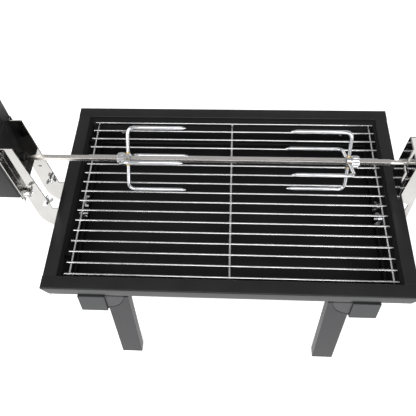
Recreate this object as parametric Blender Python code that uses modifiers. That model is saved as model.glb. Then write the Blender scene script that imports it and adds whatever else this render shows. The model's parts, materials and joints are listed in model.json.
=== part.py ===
"""Table-top rotisserie spit roaster: charcoal tray on four legs, chrome grate, motor-driven spit.

Units are metres and +Z is up. The origin is on the ground, under the middle of the tray.
+X runs along the spit from the motor to the handle, and +Y is the back.
"""

import math

import bmesh
import bpy
from mathutils import Matrix, Vector

MM = 0.001

# Driving dimensions
RIM_Z = 232 * MM  # top of the tray rim above the ground
RIM_X = 325 * MM  # half length of the rim
RIM_Y = 208.5 * MM  # half width of the rim
FLANGE = 25 * MM  # width of the flat rim
LIP = 25 * MM  # height of the turned-down lip
TRAY_DEPTH = 85 * MM
SHEET = 2 * MM
GAP = 0.3 * MM  # running gap between pieces that touch

OPEN_X = RIM_X - FLANGE
OPEN_Y = RIM_Y - FLANGE

# Grate
BAR_COUNT = 17
BAR_PITCH = 22.06 * MM
BAR_R = 2 * MM
BAR_HALF = 295 * MM
CROSS_R = 2.5 * MM
CROSS_X = 287 * MM
GRATE_AT = Vector((3 * MM, 2.8 * MM, RIM_Z - 15 * MM))
REST_TAB = (12 * MM, 3 * MM)  # width and thickness of a tab that the grate rests on
REST_Y = BAR_PITCH * 6

# Spit axis
AXIS_Z = RIM_Z + 97 * MM
SPIT_SIDE = 8 * MM
SPIT_TIP_SIDE = 5 * MM
SPIT_TIP_X = -377 * MM
SPIT_TAPER_X = -333 * MM
SPIT_SHOULDER_X = 276 * MM
JOURNAL_R = 4 * MM
JOURNAL_END_X = 352 * MM
STOP_COLLAR_X = (311 * MM, 319 * MM)
STOP_COLLAR_R = 8.5 * MM
FERRULE_X = (344 * MM, 358 * MM)
FERRULE_R = 11 * MM
HANDLE_END_X = 478 * MM

# Forks
PRONG_R = 3.2 * MM
PRONG_CIRCLE = 54 * MM
PRONG_LENGTH = 102 * MM
PRONG_BEND = 9 * MM
PRONG_TIP = 9 * MM
FORK_RING = (10 * MM, 8 * MM)  # radius and length
COLLAR_R = 11 * MM
COLLAR_LENGTH = 14 * MM
THUMBSCREW_TURN = math.radians(-75)  # from +Y towards +Z
THUMBSCREW_HEAD = (5.5 * MM, 7 * MM)  # radius and height
FORKS = {
    "left": {"x": -179 * MM, "points": 1, "turn": 43.6},
    "right": {"x": 204 * MM, "points": -1, "turn": 61.6},
}

# Legs: a bent tube with a stub along X, whose outer face leans out as it goes down
LEG_FACE_Y = 209 * MM  # outer face at the height of the lip's lower edge
LEG_LEAN = 0.2  # outward travel for each metre down
LEG_DEPTH = 20 * MM
LEG_WALL = 1.5 * MM
LEG_WIDTH = 40 * MM
LEG_TOP = 28 * MM
LEG_STUB_X = 262 * MM
LEG_OUTER_X = 214.5 * MM
FOOT_H = 3 * MM
PLUG_TOP = 12 * MM

SOCKET_X = (217 * MM, 265 * MM)
SOCKET_WALL = 2.5 * MM
SOCKET_SCREW_X = 238 * MM
SOCKET_SCREW_HEAD = (5 * MM, 3 * MM)  # radius and height
SOCKET_SCREW_REACH = 7 * MM

# End supports
WALL_BOLT_Y = (-24 * MM, 5 * MM, 24 * MM)
WALL_BOLT_Z = RIM_Z - 56 * MM
BOLT_R = 3 * MM
BOLT_HOLE_R = 3.5 * MM
BOLT_HEAD = (5.5 * MM, 4 * MM)  # radius and height
RIVET_HEAD = (5.5 * MM, 2.5 * MM)
SUPPORT_Y = 31 * MM  # middle of each side plate
WALL_PLATE_X = (OPEN_X + SHEET + GAP, OPEN_X + 2 * SHEET + GAP)
WALL_PLATE_Y = 48 * MM
WALL_PLATE_Z = (RIM_Z - 80 * MM, RIM_Z - LIP - 3 * MM)
ARM_IN_X = (346 * MM, 356 * MM)  # inner edge of the left arm at its foot and at its top
ARM_Z = (RIM_Z - 110 * MM, RIM_Z + 160 * MM)
ARM_BEND = 60 * MM
TAB_Z = (RIM_Z + 20 * MM, RIM_Z + 156 * MM)
BRACKET_BOLT_Y = 39 * MM
BRACKET_BOLT_Z = RIM_Z + 36 * MM
UPRIGHT_X = 305 * MM
UPRIGHT_Z = (RIM_Z + 25 * MM, RIM_Z + 128 * MM)
UPRIGHT_OUT_X = (340 * MM, 328 * MM)  # outer edge of the right flange at its foot and at its top
UPRIGHT_BEND = 30 * MM
ROUND_SIDES = 12

# Motor unit
MOTOR_PLATE_X = -382.3 * MM
CASE_BOTTOM = RIM_Z + 26 * MM
CASE_TOP = RIM_Z + 163 * MM
CASE_HALF_Y = 45 * MM
CASE_FRONT_X = MOTOR_PLATE_X - SHEET - GAP
CASE_SPLIT_X = -433 * MM
CASE_BACK_X = -478 * MM
CASE_WALL = 2.5 * MM
TONGUE_Y = 20 * MM
TONGUE_TOP = RIM_Z + 226 * MM
HANGER_AT = (32 * MM, RIM_Z + 212 * MM)
HANGER_R = 4 * MM
DOOR_HALF_Y = 34 * MM
DOOR_Z = (RIM_Z + 32 * MM, RIM_Z + 104 * MM)
DOOR_CLEAR = 0.5 * MM
SWITCH_Z = RIM_Z + 132 * MM
SWITCH_HOLE = (11 * MM, 8 * MM)  # half width and half height
CELL_R = 16.5 * MM
CELL_Z = (RIM_Z + 50 * MM, RIM_Z + 86 * MM)

# Gear train, back from the motor plate
MODULE = 1.25 * MM
PINION_TEETH = 12
WHEEL_TEETH = 36
GEAR_CENTRES = MODULE * (PINION_TEETH + WHEEL_TEETH) / 2
IDLER_AT = (0.0, AXIS_Z + GEAR_CENTRES)
ROTOR_ANGLE = math.radians(200)
ROTOR_AT = (
    IDLER_AT[0] + GEAR_CENTRES * math.cos(ROTOR_ANGLE),
    IDLER_AT[1] + GEAR_CENTRES * math.sin(ROTOR_ANGLE),
)
OUTPUT_WHEEL_X = (MOTOR_PLATE_X - 17.7 * MM, MOTOR_PLATE_X - 12.7 * MM)
IDLER_WHEEL_X = (MOTOR_PLATE_X - 25.7 * MM, MOTOR_PLATE_X - 19.7 * MM)
SHAFT_X = (MOTOR_PLATE_X - 31.7 * MM, MOTOR_PLATE_X - 1.7 * MM)
SHAFT_R = 4 * MM
BUSH_R = 8 * MM
HUB_X = (MOTOR_PLATE_X - 1.4 * MM, MOTOR_PLATE_X + 20.3 * MM)
HUB_R = 10 * MM
HUB_SOCKET = 9 * MM  # side of the square hole for the spit
HUB_FLOOR = 4.7 * MM  # solid length behind the square hole
CAN_X = (MOTOR_PLATE_X - 56.7 * MM, MOTOR_PLATE_X - 29.7 * MM)
CAN_R = 12 * MM

# Plane of an outline: local X and Y of the outline in world axes
PLANE_XZ = Matrix(((1, 0, 0), (0, 0, -1), (0, 1, 0)))
PLANE_YZ = Matrix(((0, 0, 1), (1, 0, 0), (0, 1, 0)))
ALONG = {"X": Vector((1, 0, 0)), "Y": Vector((0, 1, 0)), "Z": Vector((0, 0, 1))}

FINISHES = {
    "black_enamel": ((0.028, 0.028, 0.030), 0.45, 0.0),
    "grey_paint": ((0.085, 0.085, 0.09), 0.40, 0.0),
    "chrome": ((0.72, 0.72, 0.73), 0.12, 1.0),
    "stainless": ((0.56, 0.55, 0.53), 0.22, 1.0),
    "zinc": ((0.60, 0.60, 0.61), 0.30, 1.0),
    "black_plastic": ((0.018, 0.018, 0.019), 0.50, 0.0),
    "brass": ((0.60, 0.42, 0.16), 0.30, 1.0),
    "white_nylon": ((0.78, 0.77, 0.72), 0.45, 0.0),
    "cell_wrap": ((0.30, 0.30, 0.32), 0.35, 0.0),
}


def clear_scene():
    for old in list(bpy.data.objects):
        bpy.data.objects.remove(old, do_unlink=True)


def new_collection(name):
    found = bpy.data.collections.new(name)
    bpy.context.scene.collection.children.link(found)
    return found


def finish_for(name, node):
    color, roughness, metallic = FINISHES[name]
    material = bpy.data.materials.new(f"{node}_{name}")
    material.use_nodes = True
    shader = material.node_tree.nodes["Principled BSDF"]
    shader.inputs["Base Color"].default_value = (*color, 1)
    shader.inputs["Roughness"].default_value = roughness
    shader.inputs["Metallic"].default_value = metallic
    return material


def place_mesh(name, mesh, place):
    """A plain object from a bmesh, held in no collection yet."""
    data = bpy.data.meshes.new(name)
    mesh.to_mesh(data)
    mesh.free()
    found = bpy.data.objects.new(name, data)
    found.matrix_world = place
    return found


def box(low, high, name="tool"):
    low, high = Vector(low), Vector(high)
    mesh = bmesh.new()
    bmesh.ops.create_cube(mesh, size=1, matrix=Matrix.Diagonal((*(high - low), 1)))
    return place_mesh(name, mesh, Matrix.Translation((low + high) / 2))


def rod(start, end, radius, sides=ROUND_SIDES, end_radius=None, name="tool"):
    """A closed cylinder or cone between two points, with its origin halfway."""
    start, end = Vector(start), Vector(end)
    run = end - start
    mesh = bmesh.new()
    bmesh.ops.create_cone(
        mesh,
        cap_ends=True,
        segments=sides,
        radius1=radius,
        radius2=radius if end_radius is None else end_radius,
        depth=run.length,
    )
    turn = run.to_track_quat("Z", "Y").to_matrix().to_4x4()
    return place_mesh(name, mesh, Matrix.Translation((start + end) / 2) @ turn)


def as_mesh(curve_object, name):
    """The mesh of a filled curve, with its caps welded."""
    bpy.context.scene.collection.objects.link(curve_object)
    graph = bpy.context.evaluated_depsgraph_get()
    data = bpy.data.meshes.new_from_object(curve_object.evaluated_get(graph))
    mesh = bmesh.new()
    mesh.from_mesh(data)
    bmesh.ops.remove_doubles(mesh, verts=mesh.verts, dist=1e-6)
    found = place_mesh(name, mesh, curve_object.matrix_world.copy())
    bpy.data.objects.remove(curve_object, do_unlink=True)
    bpy.data.meshes.remove(data)
    return found


def outline(points, depth, plane, at=(0, 0, 0), name="tool"):
    """A flat outline given thickness, centred on the plane through at."""
    curve = bpy.data.curves.new(name, "CURVE")
    curve.dimensions = "2D"
    curve.fill_mode = "BOTH"
    curve.extrude = depth / 2
    spline = curve.splines.new("POLY")
    spline.points.add(len(points) - 1)
    for point, (u, v) in zip(spline.points, points):
        point.co = (u, v, 0, 1)
    spline.use_cyclic_u = True
    shape = bpy.data.objects.new(name, curve)
    shape.matrix_world = Matrix.Translation(at) @ plane.to_4x4()
    return as_mesh(shape, name)


def wire(points, radius, tip=0.0, resolution=2, name="tool"):
    """A bent round wire through points; tip is the radius ratio at the last point."""
    curve = bpy.data.curves.new(name, "CURVE")
    curve.dimensions = "3D"
    curve.bevel_depth = radius
    curve.bevel_resolution = resolution
    curve.use_fill_caps = True
    spline = curve.splines.new("POLY")
    spline.points.add(len(points) - 1)
    for point, place in zip(spline.points, points):
        point.co = (*place, 1)
    if tip:
        spline.points[-1].radius = tip
    return as_mesh(bpy.data.objects.new(name, curve), name)


def arc(centre, radius, start, end, steps):
    """Points on an arc in a plane, with both ends, angles in degrees."""
    angles = [math.radians(start + (end - start) * i / steps) for i in range(steps + 1)]
    return [(centre[0] + radius * math.cos(a), centre[1] + radius * math.sin(a)) for a in angles]


class Workshop:
    """Keeps the parts, their cutters and the empties that they ride on."""

    def __init__(self):
        self.parts = new_collection("rotisserie_spit_roaster")
        self.cutters = new_collection("cutters")

    def part(self, name, shape, finish, joins=(), cuts=(), pivot=None, smooth=False):
        shape.name = name
        shape.data.name = name
        self.parts.objects.link(shape)
        shape.data.materials.clear()
        shape.data.materials.append(finish_for(finish, name))
        for kind, tools in (("UNION", joins), ("DIFFERENCE", cuts)):
            for tool in tools:
                self.add_boolean(shape, tool, kind)
        if smooth:
            shape.data.shade_smooth()
            shape.data.set_sharp_from_angle(angle=math.radians(35))
        if pivot:
            shape.parent = pivot
            shape.matrix_parent_inverse = pivot.matrix_world.inverted()
        return shape

    def add_boolean(self, shape, tool, kind):
        tool.name = f"{shape.name}_{kind.lower()}"
        tool.hide_render = True
        tool.display_type = "WIRE"
        self.cutters.objects.link(tool)
        modifier = shape.modifiers.new(tool.name, "BOOLEAN")
        modifier.object = tool
        modifier.operation = kind
        modifier.solver = "EXACT"

    def pivot(self, name, at, parent=None):
        found = bpy.data.objects.new(name, None)
        found.empty_display_size = 0.02
        found.matrix_world = Matrix.Translation(at)
        self.parts.objects.link(found)
        bpy.context.view_layer.update()
        if parent:
            found.parent = parent
            found.matrix_parent_inverse = parent.matrix_world.inverted()
        return found


def tray_surface():
    """The pan's inner faces, the flat rim and the lip as one open sheet."""
    levels = (
        (OPEN_X, OPEN_Y, RIM_Z - TRAY_DEPTH),
        (OPEN_X, OPEN_Y, RIM_Z),
        (RIM_X, RIM_Y, RIM_Z),
        (RIM_X, RIM_Y, RIM_Z - LIP),
    )
    mesh = bmesh.new()
    rings = []
    for x, y, z in levels:
        corners = ((-x, -y, z), (x, -y, z), (x, y, z), (-x, y, z))
        rings.append([mesh.verts.new(corner) for corner in corners])
    mesh.faces.new(rings[0])
    for inner, outer in zip(rings, rings[1:]):
        for i in range(4):
            j = (i + 1) % 4
            mesh.faces.new((outer[i], outer[j], inner[j], inner[i]))
    return place_mesh("tool", mesh, Matrix.Identity(4))


def wall_hole(side, y):
    reach = (side * (OPEN_X - 10 * MM), side * (OPEN_X + 12 * MM))
    return rod((reach[0], y, WALL_BOLT_Z), (reach[1], y, WALL_BOLT_Z), BOLT_HOLE_R)


def socket_hole(side, end):
    z = RIM_Z - LEG_TOP - LEG_WIDTH / 2
    x = side * SOCKET_SCREW_X
    start = (x, end * (OPEN_Y - 6 * MM), z)
    return rod(start, (x, end * (OPEN_Y + SOCKET_SCREW_REACH + 1.5 * MM), z), BOLT_HOLE_R)


def build_tray(shop):
    tray = tray_surface()
    solid = tray.modifiers.new("sheet", "SOLIDIFY")
    solid.thickness = SHEET
    solid.offset = -1
    solid.use_even_offset = True
    width, thickness = REST_TAB
    clear = CROSS_X + CROSS_R + MM
    top = GRATE_AT.z - BAR_R - GAP
    tabs = []
    for side in (-1, 1):
        for end in (-1, 1):
            y = GRATE_AT.y + end * REST_Y
            ends = sorted((GRATE_AT.x + side * clear, side * (OPEN_X + SHEET / 2)))
            low = (ends[0], y - width / 2, top - thickness)
            tabs.append(box(low, (ends[1], y + width / 2, top)))
    holes = [wall_hole(side, y) for side in (-1, 1) for y in WALL_BOLT_Y]
    holes += [socket_hole(side, end) for side in (-1, 1) for end in (-1, 1)]
    shop.part("tray", tray, "black_enamel", joins=tabs, cuts=holes)


def rods_mesh(runs, radius, sides):
    """Several separate rods in one mesh, to be joined by one union."""
    mesh = bmesh.new()
    for start, end in runs:
        run = Vector(end) - Vector(start)
        turn = run.to_track_quat("Z", "Y").to_matrix().to_4x4()
        place = Matrix.Translation((Vector(start) + Vector(end)) / 2) @ turn
        bmesh.ops.create_cone(
            mesh, cap_ends=True, segments=sides, radius1=radius, radius2=radius,
            depth=run.length, matrix=place,
        )
    return mesh


def build_grate(shop):
    half = (BAR_COUNT - 1) / 2 * BAR_PITCH
    bars = []
    for i in range(BAR_COUNT):
        y = i * BAR_PITCH - half
        bars.append(((-BAR_HALF, y, 0), (BAR_HALF, y, 0)))
    drop = BAR_R + CROSS_R - 0.8 * MM
    reach = half + 3 * MM
    crosses = [((x, -reach, -drop), (x, reach, -drop)) for x in (-CROSS_X, 0, CROSS_X)]
    place = Matrix.Translation(GRATE_AT)
    grate = place_mesh("tool", rods_mesh(bars, BAR_R, 6), place)
    cross = place_mesh("tool", rods_mesh(crosses, CROSS_R, 6), place)
    pivot = shop.pivot("grate_pivot", GRATE_AT)
    shop.part("grate", grate, "chrome", joins=[cross], pivot=pivot)


def lean_out(z):
    return LEG_LEAN * (RIM_Z - LIP - z)


def leaned(tool, end):
    """Leans a shape outwards as it goes down, so that its level faces stay level."""
    place = tool.matrix_world.copy()
    back = place.inverted()
    for vertex in tool.data.vertices:
        point = place @ vertex.co
        point.y += end * lean_out(point.z)
        vertex.co = back @ point
    return tool


def leg_outline(inset, ends):
    """Right leg in X and Z; inset shrinks it and ends runs it past its open ends."""
    top = RIM_Z - LEG_TOP - inset
    under = RIM_Z - LEG_TOP - LEG_WIDTH + inset
    foot = FOOT_H - ends
    outer = LEG_OUTER_X - inset
    inner = LEG_OUTER_X - LEG_WIDTH + inset
    stub = LEG_STUB_X + ends
    return [(stub, top), (inner, top), (inner, foot), (outer, foot), (outer, under), (stub, under)]


def build_leg(shop, side, end):
    corner = f"{'front' if end < 0 else 'rear'}_{'left' if side < 0 else 'right'}"
    y = end * (LEG_FACE_Y - LEG_DEPTH / 2)
    turned = [(side * x, z) for x, z in leg_outline(0, 0)]
    hollow = [(side * x, z) for x, z in leg_outline(LEG_WALL, 5 * MM)]
    pivot = shop.pivot(f"{corner}_leg_pivot", (side * LEG_STUB_X, y, RIM_Z - LEG_TOP))
    leg = leaned(outline(turned, LEG_DEPTH, PLANE_XZ, (0, y, 0)), end)
    core = leaned(outline(hollow, LEG_DEPTH - 2 * LEG_WALL, PLANE_XZ, (0, y, 0)), end)
    shop.part(f"{corner}_leg", leg, "grey_paint", cuts=[core], pivot=pivot)
    build_foot(shop, corner, side, end, pivot)
    build_socket(shop, corner, side, end)


def build_foot(shop, corner, side, end, pivot):
    """Cap with a level underside, and the plug that holds it in the open end of the tube."""
    x = side * (LEG_OUTER_X - LEG_WIDTH / 2)
    y = end * (LEG_FACE_Y - LEG_DEPTH / 2)
    pad_y = y + end * lean_out(FOOT_H)
    half, deep = LEG_WIDTH / 2, LEG_DEPTH / 2
    pad = box((x - half, pad_y - deep, 0), (x + half, pad_y + deep, FOOT_H - GAP))
    half -= LEG_WALL + 2 * MM
    deep -= LEG_WALL + GAP
    plug = box((x - half, y - deep, FOOT_H / 2), (x + half, y + deep, PLUG_TOP))
    shop.part(f"{corner}_foot", pad, "black_plastic", joins=[leaned(plug, end)], pivot=pivot)


def build_socket(shop, corner, side, end):
    """Plastic sleeve under the rim that the leg's stub plugs into, and its screw."""
    top = RIM_Z - LEG_TOP + SOCKET_WALL - MM
    bottom = RIM_Z - LEG_TOP - LEG_WIDTH - SOCKET_WALL
    near, far = OPEN_Y + SHEET + GAP, LEG_FACE_Y + SOCKET_WALL
    section = [(near, top), (far + lean_out(top), top), (far + lean_out(bottom), bottom), (near, bottom)]
    inner, outer = SOCKET_X
    middle = side * (inner + outer) / 2
    block = outline([(end * y, z) for y, z in section], outer - inner, PLANE_YZ, (middle, 0, 0))
    clear = 0.4 * MM
    xs = sorted((side * (inner - 5 * MM), side * (LEG_STUB_X + clear)))
    ys = sorted((end * (LEG_FACE_Y - LEG_DEPTH - clear), end * (LEG_FACE_Y + clear)))
    low = (xs[0], ys[0], RIM_Z - LEG_TOP - LEG_WIDTH - clear)
    mouth = leaned(box(low, (xs[1], ys[1], RIM_Z - LEG_TOP + clear)), end)
    shop.part(f"{corner}_leg_socket", block, "black_plastic", cuts=[mouth, socket_hole(side, end)])
    z = RIM_Z - LEG_TOP - LEG_WIDTH / 2
    x = side * SOCKET_SCREW_X
    face = end * (OPEN_Y - GAP)
    head_r, head_h = SOCKET_SCREW_HEAD
    head = rod((x, face - end * head_h, z), (x, face, z), head_r)
    shank = rod((x, face - end * MM, z), (x, end * (OPEN_Y + SOCKET_SCREW_REACH), z), BOLT_R)
    shop.part(f"{corner}_socket_screw", head, "zinc", joins=[shank])


def left_plate_points():
    """Side plate of the left bracket, in X and Z: a foot under the lip and an arm outside it."""
    low, under = WALL_PLATE_Z
    wall = WALL_PLATE_X[1] + GAP
    out = -MOTOR_PLATE_X - GAP
    corner = arc((out - ARM_BEND, ARM_Z[0] + ARM_BEND), ARM_BEND, 0, -90, 5)
    arm = [(wall, under), (ARM_IN_X[0], under), (ARM_IN_X[1], ARM_Z[1]), (out, ARM_Z[1])]
    return [(-x, z) for x, z in arm + corner + [(wall, low)]]


def right_flange_points():
    """Side flange of the right upright, in X and Z: round the lip and up behind the web."""
    low, under = WALL_PLATE_Z
    wall = WALL_PLATE_X[1]
    out, top_out = UPRIGHT_OUT_X
    clear = RIM_X + 3 * MM
    foot, top = UPRIGHT_Z
    corner = arc((out - UPRIGHT_BEND, low + UPRIGHT_BEND), UPRIGHT_BEND, 0, -90, 5)
    inner = [(wall, under), (clear, under), (clear, RIM_Z + 12 * MM), (UPRIGHT_X, foot)]
    return inner + [(UPRIGHT_X, top), (top_out, top)] + corner + [(wall, low)]


def build_left_support(shop):
    near, far = WALL_PLATE_X
    low, high = WALL_PLATE_Z
    plate = box((-far, -WALL_PLATE_Y, low), (-near, WALL_PLATE_Y, high))
    cuts = [wall_hole(-1, y) for y in WALL_BOLT_Y]
    shop.part("left_wall_plate", plate, "stainless", cuts=cuts)
    for end, label in ((-1, "front"), (1, "rear")):
        build_left_arm(shop, end, label)


def build_left_arm(shop, end, label):
    """One side plate with its folded tab, and the bolt that holds the motor plate to the tab."""
    arm = outline(left_plate_points(), SHEET, PLANE_XZ, (0, end * SUPPORT_Y, 0))
    face = MOTOR_PLATE_X + GAP
    ys = sorted((end * SUPPORT_Y, end * CASE_HALF_Y))
    tab = box((face, ys[0], TAB_Z[0]), (face + SHEET, ys[1], TAB_Z[1]))
    at = (end * BRACKET_BOLT_Y, BRACKET_BOLT_Z)
    hole = x_rod(face - 5 * MM, face + 8 * MM, at, BOLT_HOLE_R)
    shop.part(f"left_side_plate_{label}", arm, "stainless", joins=[tab], cuts=[hole])
    head_x = face + SHEET + GAP
    head_r, head_h = BOLT_HEAD
    head = x_rod(head_x, head_x + head_h, at, head_r, 6)
    shank = x_rod(MOTOR_PLATE_X - SHEET + GAP, face + 14 * MM, at, BOLT_R)
    shop.part(f"bracket_bolt_{label}", head, "zinc", joins=[shank])


def build_right_upright(shop):
    """One folded sheet: a web with the spit notch, two side flanges and a wall plate."""
    y = SUPPORT_Y
    foot, top = UPRIGHT_Z
    base = outline(right_flange_points(), SHEET, PLANE_XZ, (0, -y, 0))
    back = outline(right_flange_points(), SHEET, PLANE_XZ, (0, y, 0))
    web = box((UPRIGHT_X, -y, foot), (UPRIGHT_X + SHEET, y, top))
    near, far = WALL_PLATE_X
    low, high = WALL_PLATE_Z
    wall = box((near, -WALL_PLATE_Y, low), (far + 0.5 * MM, WALL_PLATE_Y, high))
    cuts = slot_cutters(UPRIGHT_X - 5 * MM, UPRIGHT_X + 8 * MM, top)
    cuts += [wall_hole(1, hole_y) for hole_y in WALL_BOLT_Y]
    shop.part("right_upright", base, "stainless", joins=[web, back, wall], cuts=cuts)


def slot_cutters(x0, x1, top):
    """Open notch for the spit's journal, and a hooked slot below it for a lower position."""
    half = JOURNAL_R + MM
    notch = box((x0, -half, AXIS_Z), (x1, half, top + 5 * MM))
    seat = x_rod(x0, x1, (0, AXIS_Z), half, 16)
    hook_y, hook_half = -11 * MM, 4 * MM
    hook_top = AXIS_Z - 12 * MM
    across = box((x0, hook_y - hook_half, hook_top - 8 * MM), (x1, 6 * MM, hook_top))
    down = box((x0, hook_y - hook_half, hook_top - 28 * MM), (x1, hook_y + hook_half, hook_top - 4 * MM))
    return [notch, seat, across, down]


def wing_nut(shop, name, side, y, turn):
    """Wing nut on a wall bolt, inside the tray; turn is the angle of its wings in degrees."""
    face = side * (OPEN_X - GAP)
    out = face - side * 8 * MM
    z = WALL_BOLT_Z
    pivot = shop.pivot(f"{name}_pivot", (face, y, z))
    hub = rod((face, y, z), (out, y, z), 6.5 * MM, end_radius=5 * MM)
    wings = []
    for flip in (0, 180):
        angle = math.radians(turn + flip)
        lean = 3 * MM
        points = [(3 * MM, 0), (9 * MM, lean), (12 * MM, 8 * MM), (10 * MM, 13 * MM), (3 * MM, 6 * MM)]
        radial = Vector((0, math.cos(angle), math.sin(angle)))
        axial = Vector((-side, 0, 0))
        normal = radial.cross(axial)
        plane = Matrix((radial, axial, normal)).transposed()
        wings.append(outline(points, 2.4 * MM, plane, (face - side * MM, y, z)))
    bore = rod((face + side * 5 * MM, y, z), (out - side * 12 * MM, y, z), BOLT_HOLE_R)
    shop.part(name, hub, "zinc", joins=wings, cuts=[bore], pivot=pivot)


def build_wall_bolts(shop):
    z = WALL_BOLT_Z
    head_r, head_h = BOLT_HEAD
    for side, name, turns in ((-1, "left", (78, 20)), (1, "right", (40, 70))):
        outside = side * (OPEN_X + 2 * (SHEET + GAP) + 0.5 * MM)
        for y, label, turn in zip(WALL_BOLT_Y, ("front", "middle"), turns):
            head = x_rod(outside, outside + side * head_h, (y, z), head_r, 6)
            shank = x_rod(outside + side * MM, side * (OPEN_X - 16 * MM), (y, z), BOLT_R)
            shop.part(f"{name}_wall_bolt_{label}", head, "zinc", joins=[shank])
            wing_nut(shop, f"{name}_wing_nut_{label}", side, y, turn)
        build_wall_rivet(shop, name, side, outside)


def build_wall_rivet(shop, name, side, outside):
    at = (WALL_BOLT_Y[2], WALL_BOLT_Z)
    radius, height = RIVET_HEAD
    inside = side * (OPEN_X - GAP)
    head = x_rod(outside, outside + side * height, at, radius)
    shank = x_rod(outside + side * MM, inside - side * MM, at, BOLT_R)
    button = x_rod(inside, inside - side * height, at, radius)
    shop.part(f"{name}_wall_rivet", head, "black_enamel", joins=[shank, button])


def gear_points(teeth, turn):
    """Straight-flanked teeth with backlash; turn is where the first tooth points, in radians."""
    pitch = MODULE * teeth / 2
    root, tip = pitch - 1.2 * MODULE, pitch + 0.8 * MODULE
    half = math.pi / teeth / 2 * 0.86
    flank = math.tan(math.radians(20))
    at_tip = half - flank * 0.8 * MODULE / pitch
    at_root = half + flank * 1.2 * MODULE / pitch
    points = []
    for i in range(teeth):
        middle = turn + 2 * math.pi * i / teeth
        for radius, angle in ((root, -at_root), (tip, -at_tip), (tip, at_tip), (root, at_root)):
            points.append((radius * math.cos(middle + angle), radius * math.sin(middle + angle)))
    return points


def gear(teeth, turn, x0, x1, at, name="tool"):
    place = ((x0 + x1) / 2, at[0], at[1])
    return outline(gear_points(teeth, turn), abs(x1 - x0), PLANE_YZ, place, name)


def x_rod(x0, x1, at, radius, sides=ROUND_SIDES):
    return rod((x0, at[0], at[1]), (x1, at[0], at[1]), radius, sides)


def open_case(x_face, x_open):
    """A box with walls and a face at x_face, open at x_open."""
    xs = sorted((x_face, x_open))
    shell = box((xs[0], -CASE_HALF_Y, CASE_BOTTOM), (xs[1], CASE_HALF_Y, CASE_TOP))
    inward = 1 if x_open > x_face else -1
    ends = sorted((x_face + inward * CASE_WALL, x_open + inward * 5 * MM))
    half = CASE_HALF_Y - CASE_WALL
    hollow = box((ends[0], -half, CASE_BOTTOM + CASE_WALL), (ends[1], half, CASE_TOP - CASE_WALL))
    return shell, hollow


def build_motor_plate(shop):
    x = MOTOR_PLATE_X
    plate = box((x - SHEET, -CASE_HALF_Y, CASE_BOTTOM), (x, CASE_HALF_Y, CASE_TOP))
    tongue = box((x - SHEET, TONGUE_Y, CASE_TOP - MM), (x, CASE_HALF_Y, TONGUE_TOP))
    reach = (x - 8 * MM, x + 8 * MM)
    holes = [x_rod(*reach, (0, AXIS_Z), HUB_R + 2 * MM, 20), x_rod(*reach, HANGER_AT, HANGER_R)]
    for y in (-BRACKET_BOLT_Y, BRACKET_BOLT_Y):
        holes.append(x_rod(*reach, (y, BRACKET_BOLT_Z), BOLT_HOLE_R))
    shop.part("motor_plate", plate, "black_enamel", joins=[tongue], cuts=holes)


def build_motor_case(shop):
    shell, hollow = open_case(CASE_FRONT_X, CASE_SPLIT_X)
    bore = x_rod(CASE_FRONT_X + 5 * MM, CASE_FRONT_X - 6 * MM, (0, AXIS_Z), BUSH_R + 0.4 * MM, 16)
    shop.part("motor_case", shell, "black_plastic", cuts=[hollow, bore])
    shell, hollow = open_case(CASE_BACK_X, CASE_SPLIT_X - GAP)
    x0, x1 = CASE_BACK_X - 5 * MM, CASE_BACK_X + 5 * MM
    door_hole = box((x0, -DOOR_HALF_Y, DOOR_Z[0]), (x1, DOOR_HALF_Y, DOOR_Z[1]))
    half_y, half_z = SWITCH_HOLE
    switch_hole = box((x0, -half_y, SWITCH_Z - half_z), (x1, half_y, SWITCH_Z + half_z))
    shop.part("motor_rear_cover", shell, "black_plastic", cuts=[hollow, door_hole, switch_hole])
    build_battery_bay(shop)
    build_power_switch(shop)


def build_battery_bay(shop):
    """Sliding door in the rear cover, with two round cells behind it."""
    low, high = DOOR_Z
    half = DOOR_HALF_Y - DOOR_CLEAR
    pivot = shop.pivot("battery_door_pivot", (CASE_BACK_X, 0, (low + high) / 2))
    door = box(
        (CASE_BACK_X, -half, low + DOOR_CLEAR), (CASE_BACK_X + CASE_WALL, half, high - DOOR_CLEAR)
    )
    shop.part("battery_door", door, "black_plastic", pivot=pivot)
    x = CASE_BACK_X + CASE_WALL + CELL_R + 1.5 * MM
    for i, z in enumerate(CELL_Z):
        cell = rod((x, -30 * MM, z), (x, 28 * MM, z), CELL_R, 20)
        tip = rod((x, 27 * MM, z), (x, 30.5 * MM, z), 4.5 * MM)
        shop.part(f"battery_cell_{i + 1}", cell, "cell_wrap", joins=[tip], smooth=True)


def build_power_switch(shop):
    """Rocker key that tips about a line across the rear cover."""
    x = CASE_BACK_X + 3 * MM
    pivot = shop.pivot("power_switch_pivot", (x, 0, SWITCH_Z))
    profile = ((-7, -2), (0, -1), (7, -2.4), (6, 5), (-6, 5))  # height and depth in millimetres
    points = [(x + depth * MM, SWITCH_Z + z * MM) for z, depth in profile]
    rocker = outline(points, 20 * MM, PLANE_XZ)
    shop.part("power_switch", rocker, "black_plastic", pivot=pivot)


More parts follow.
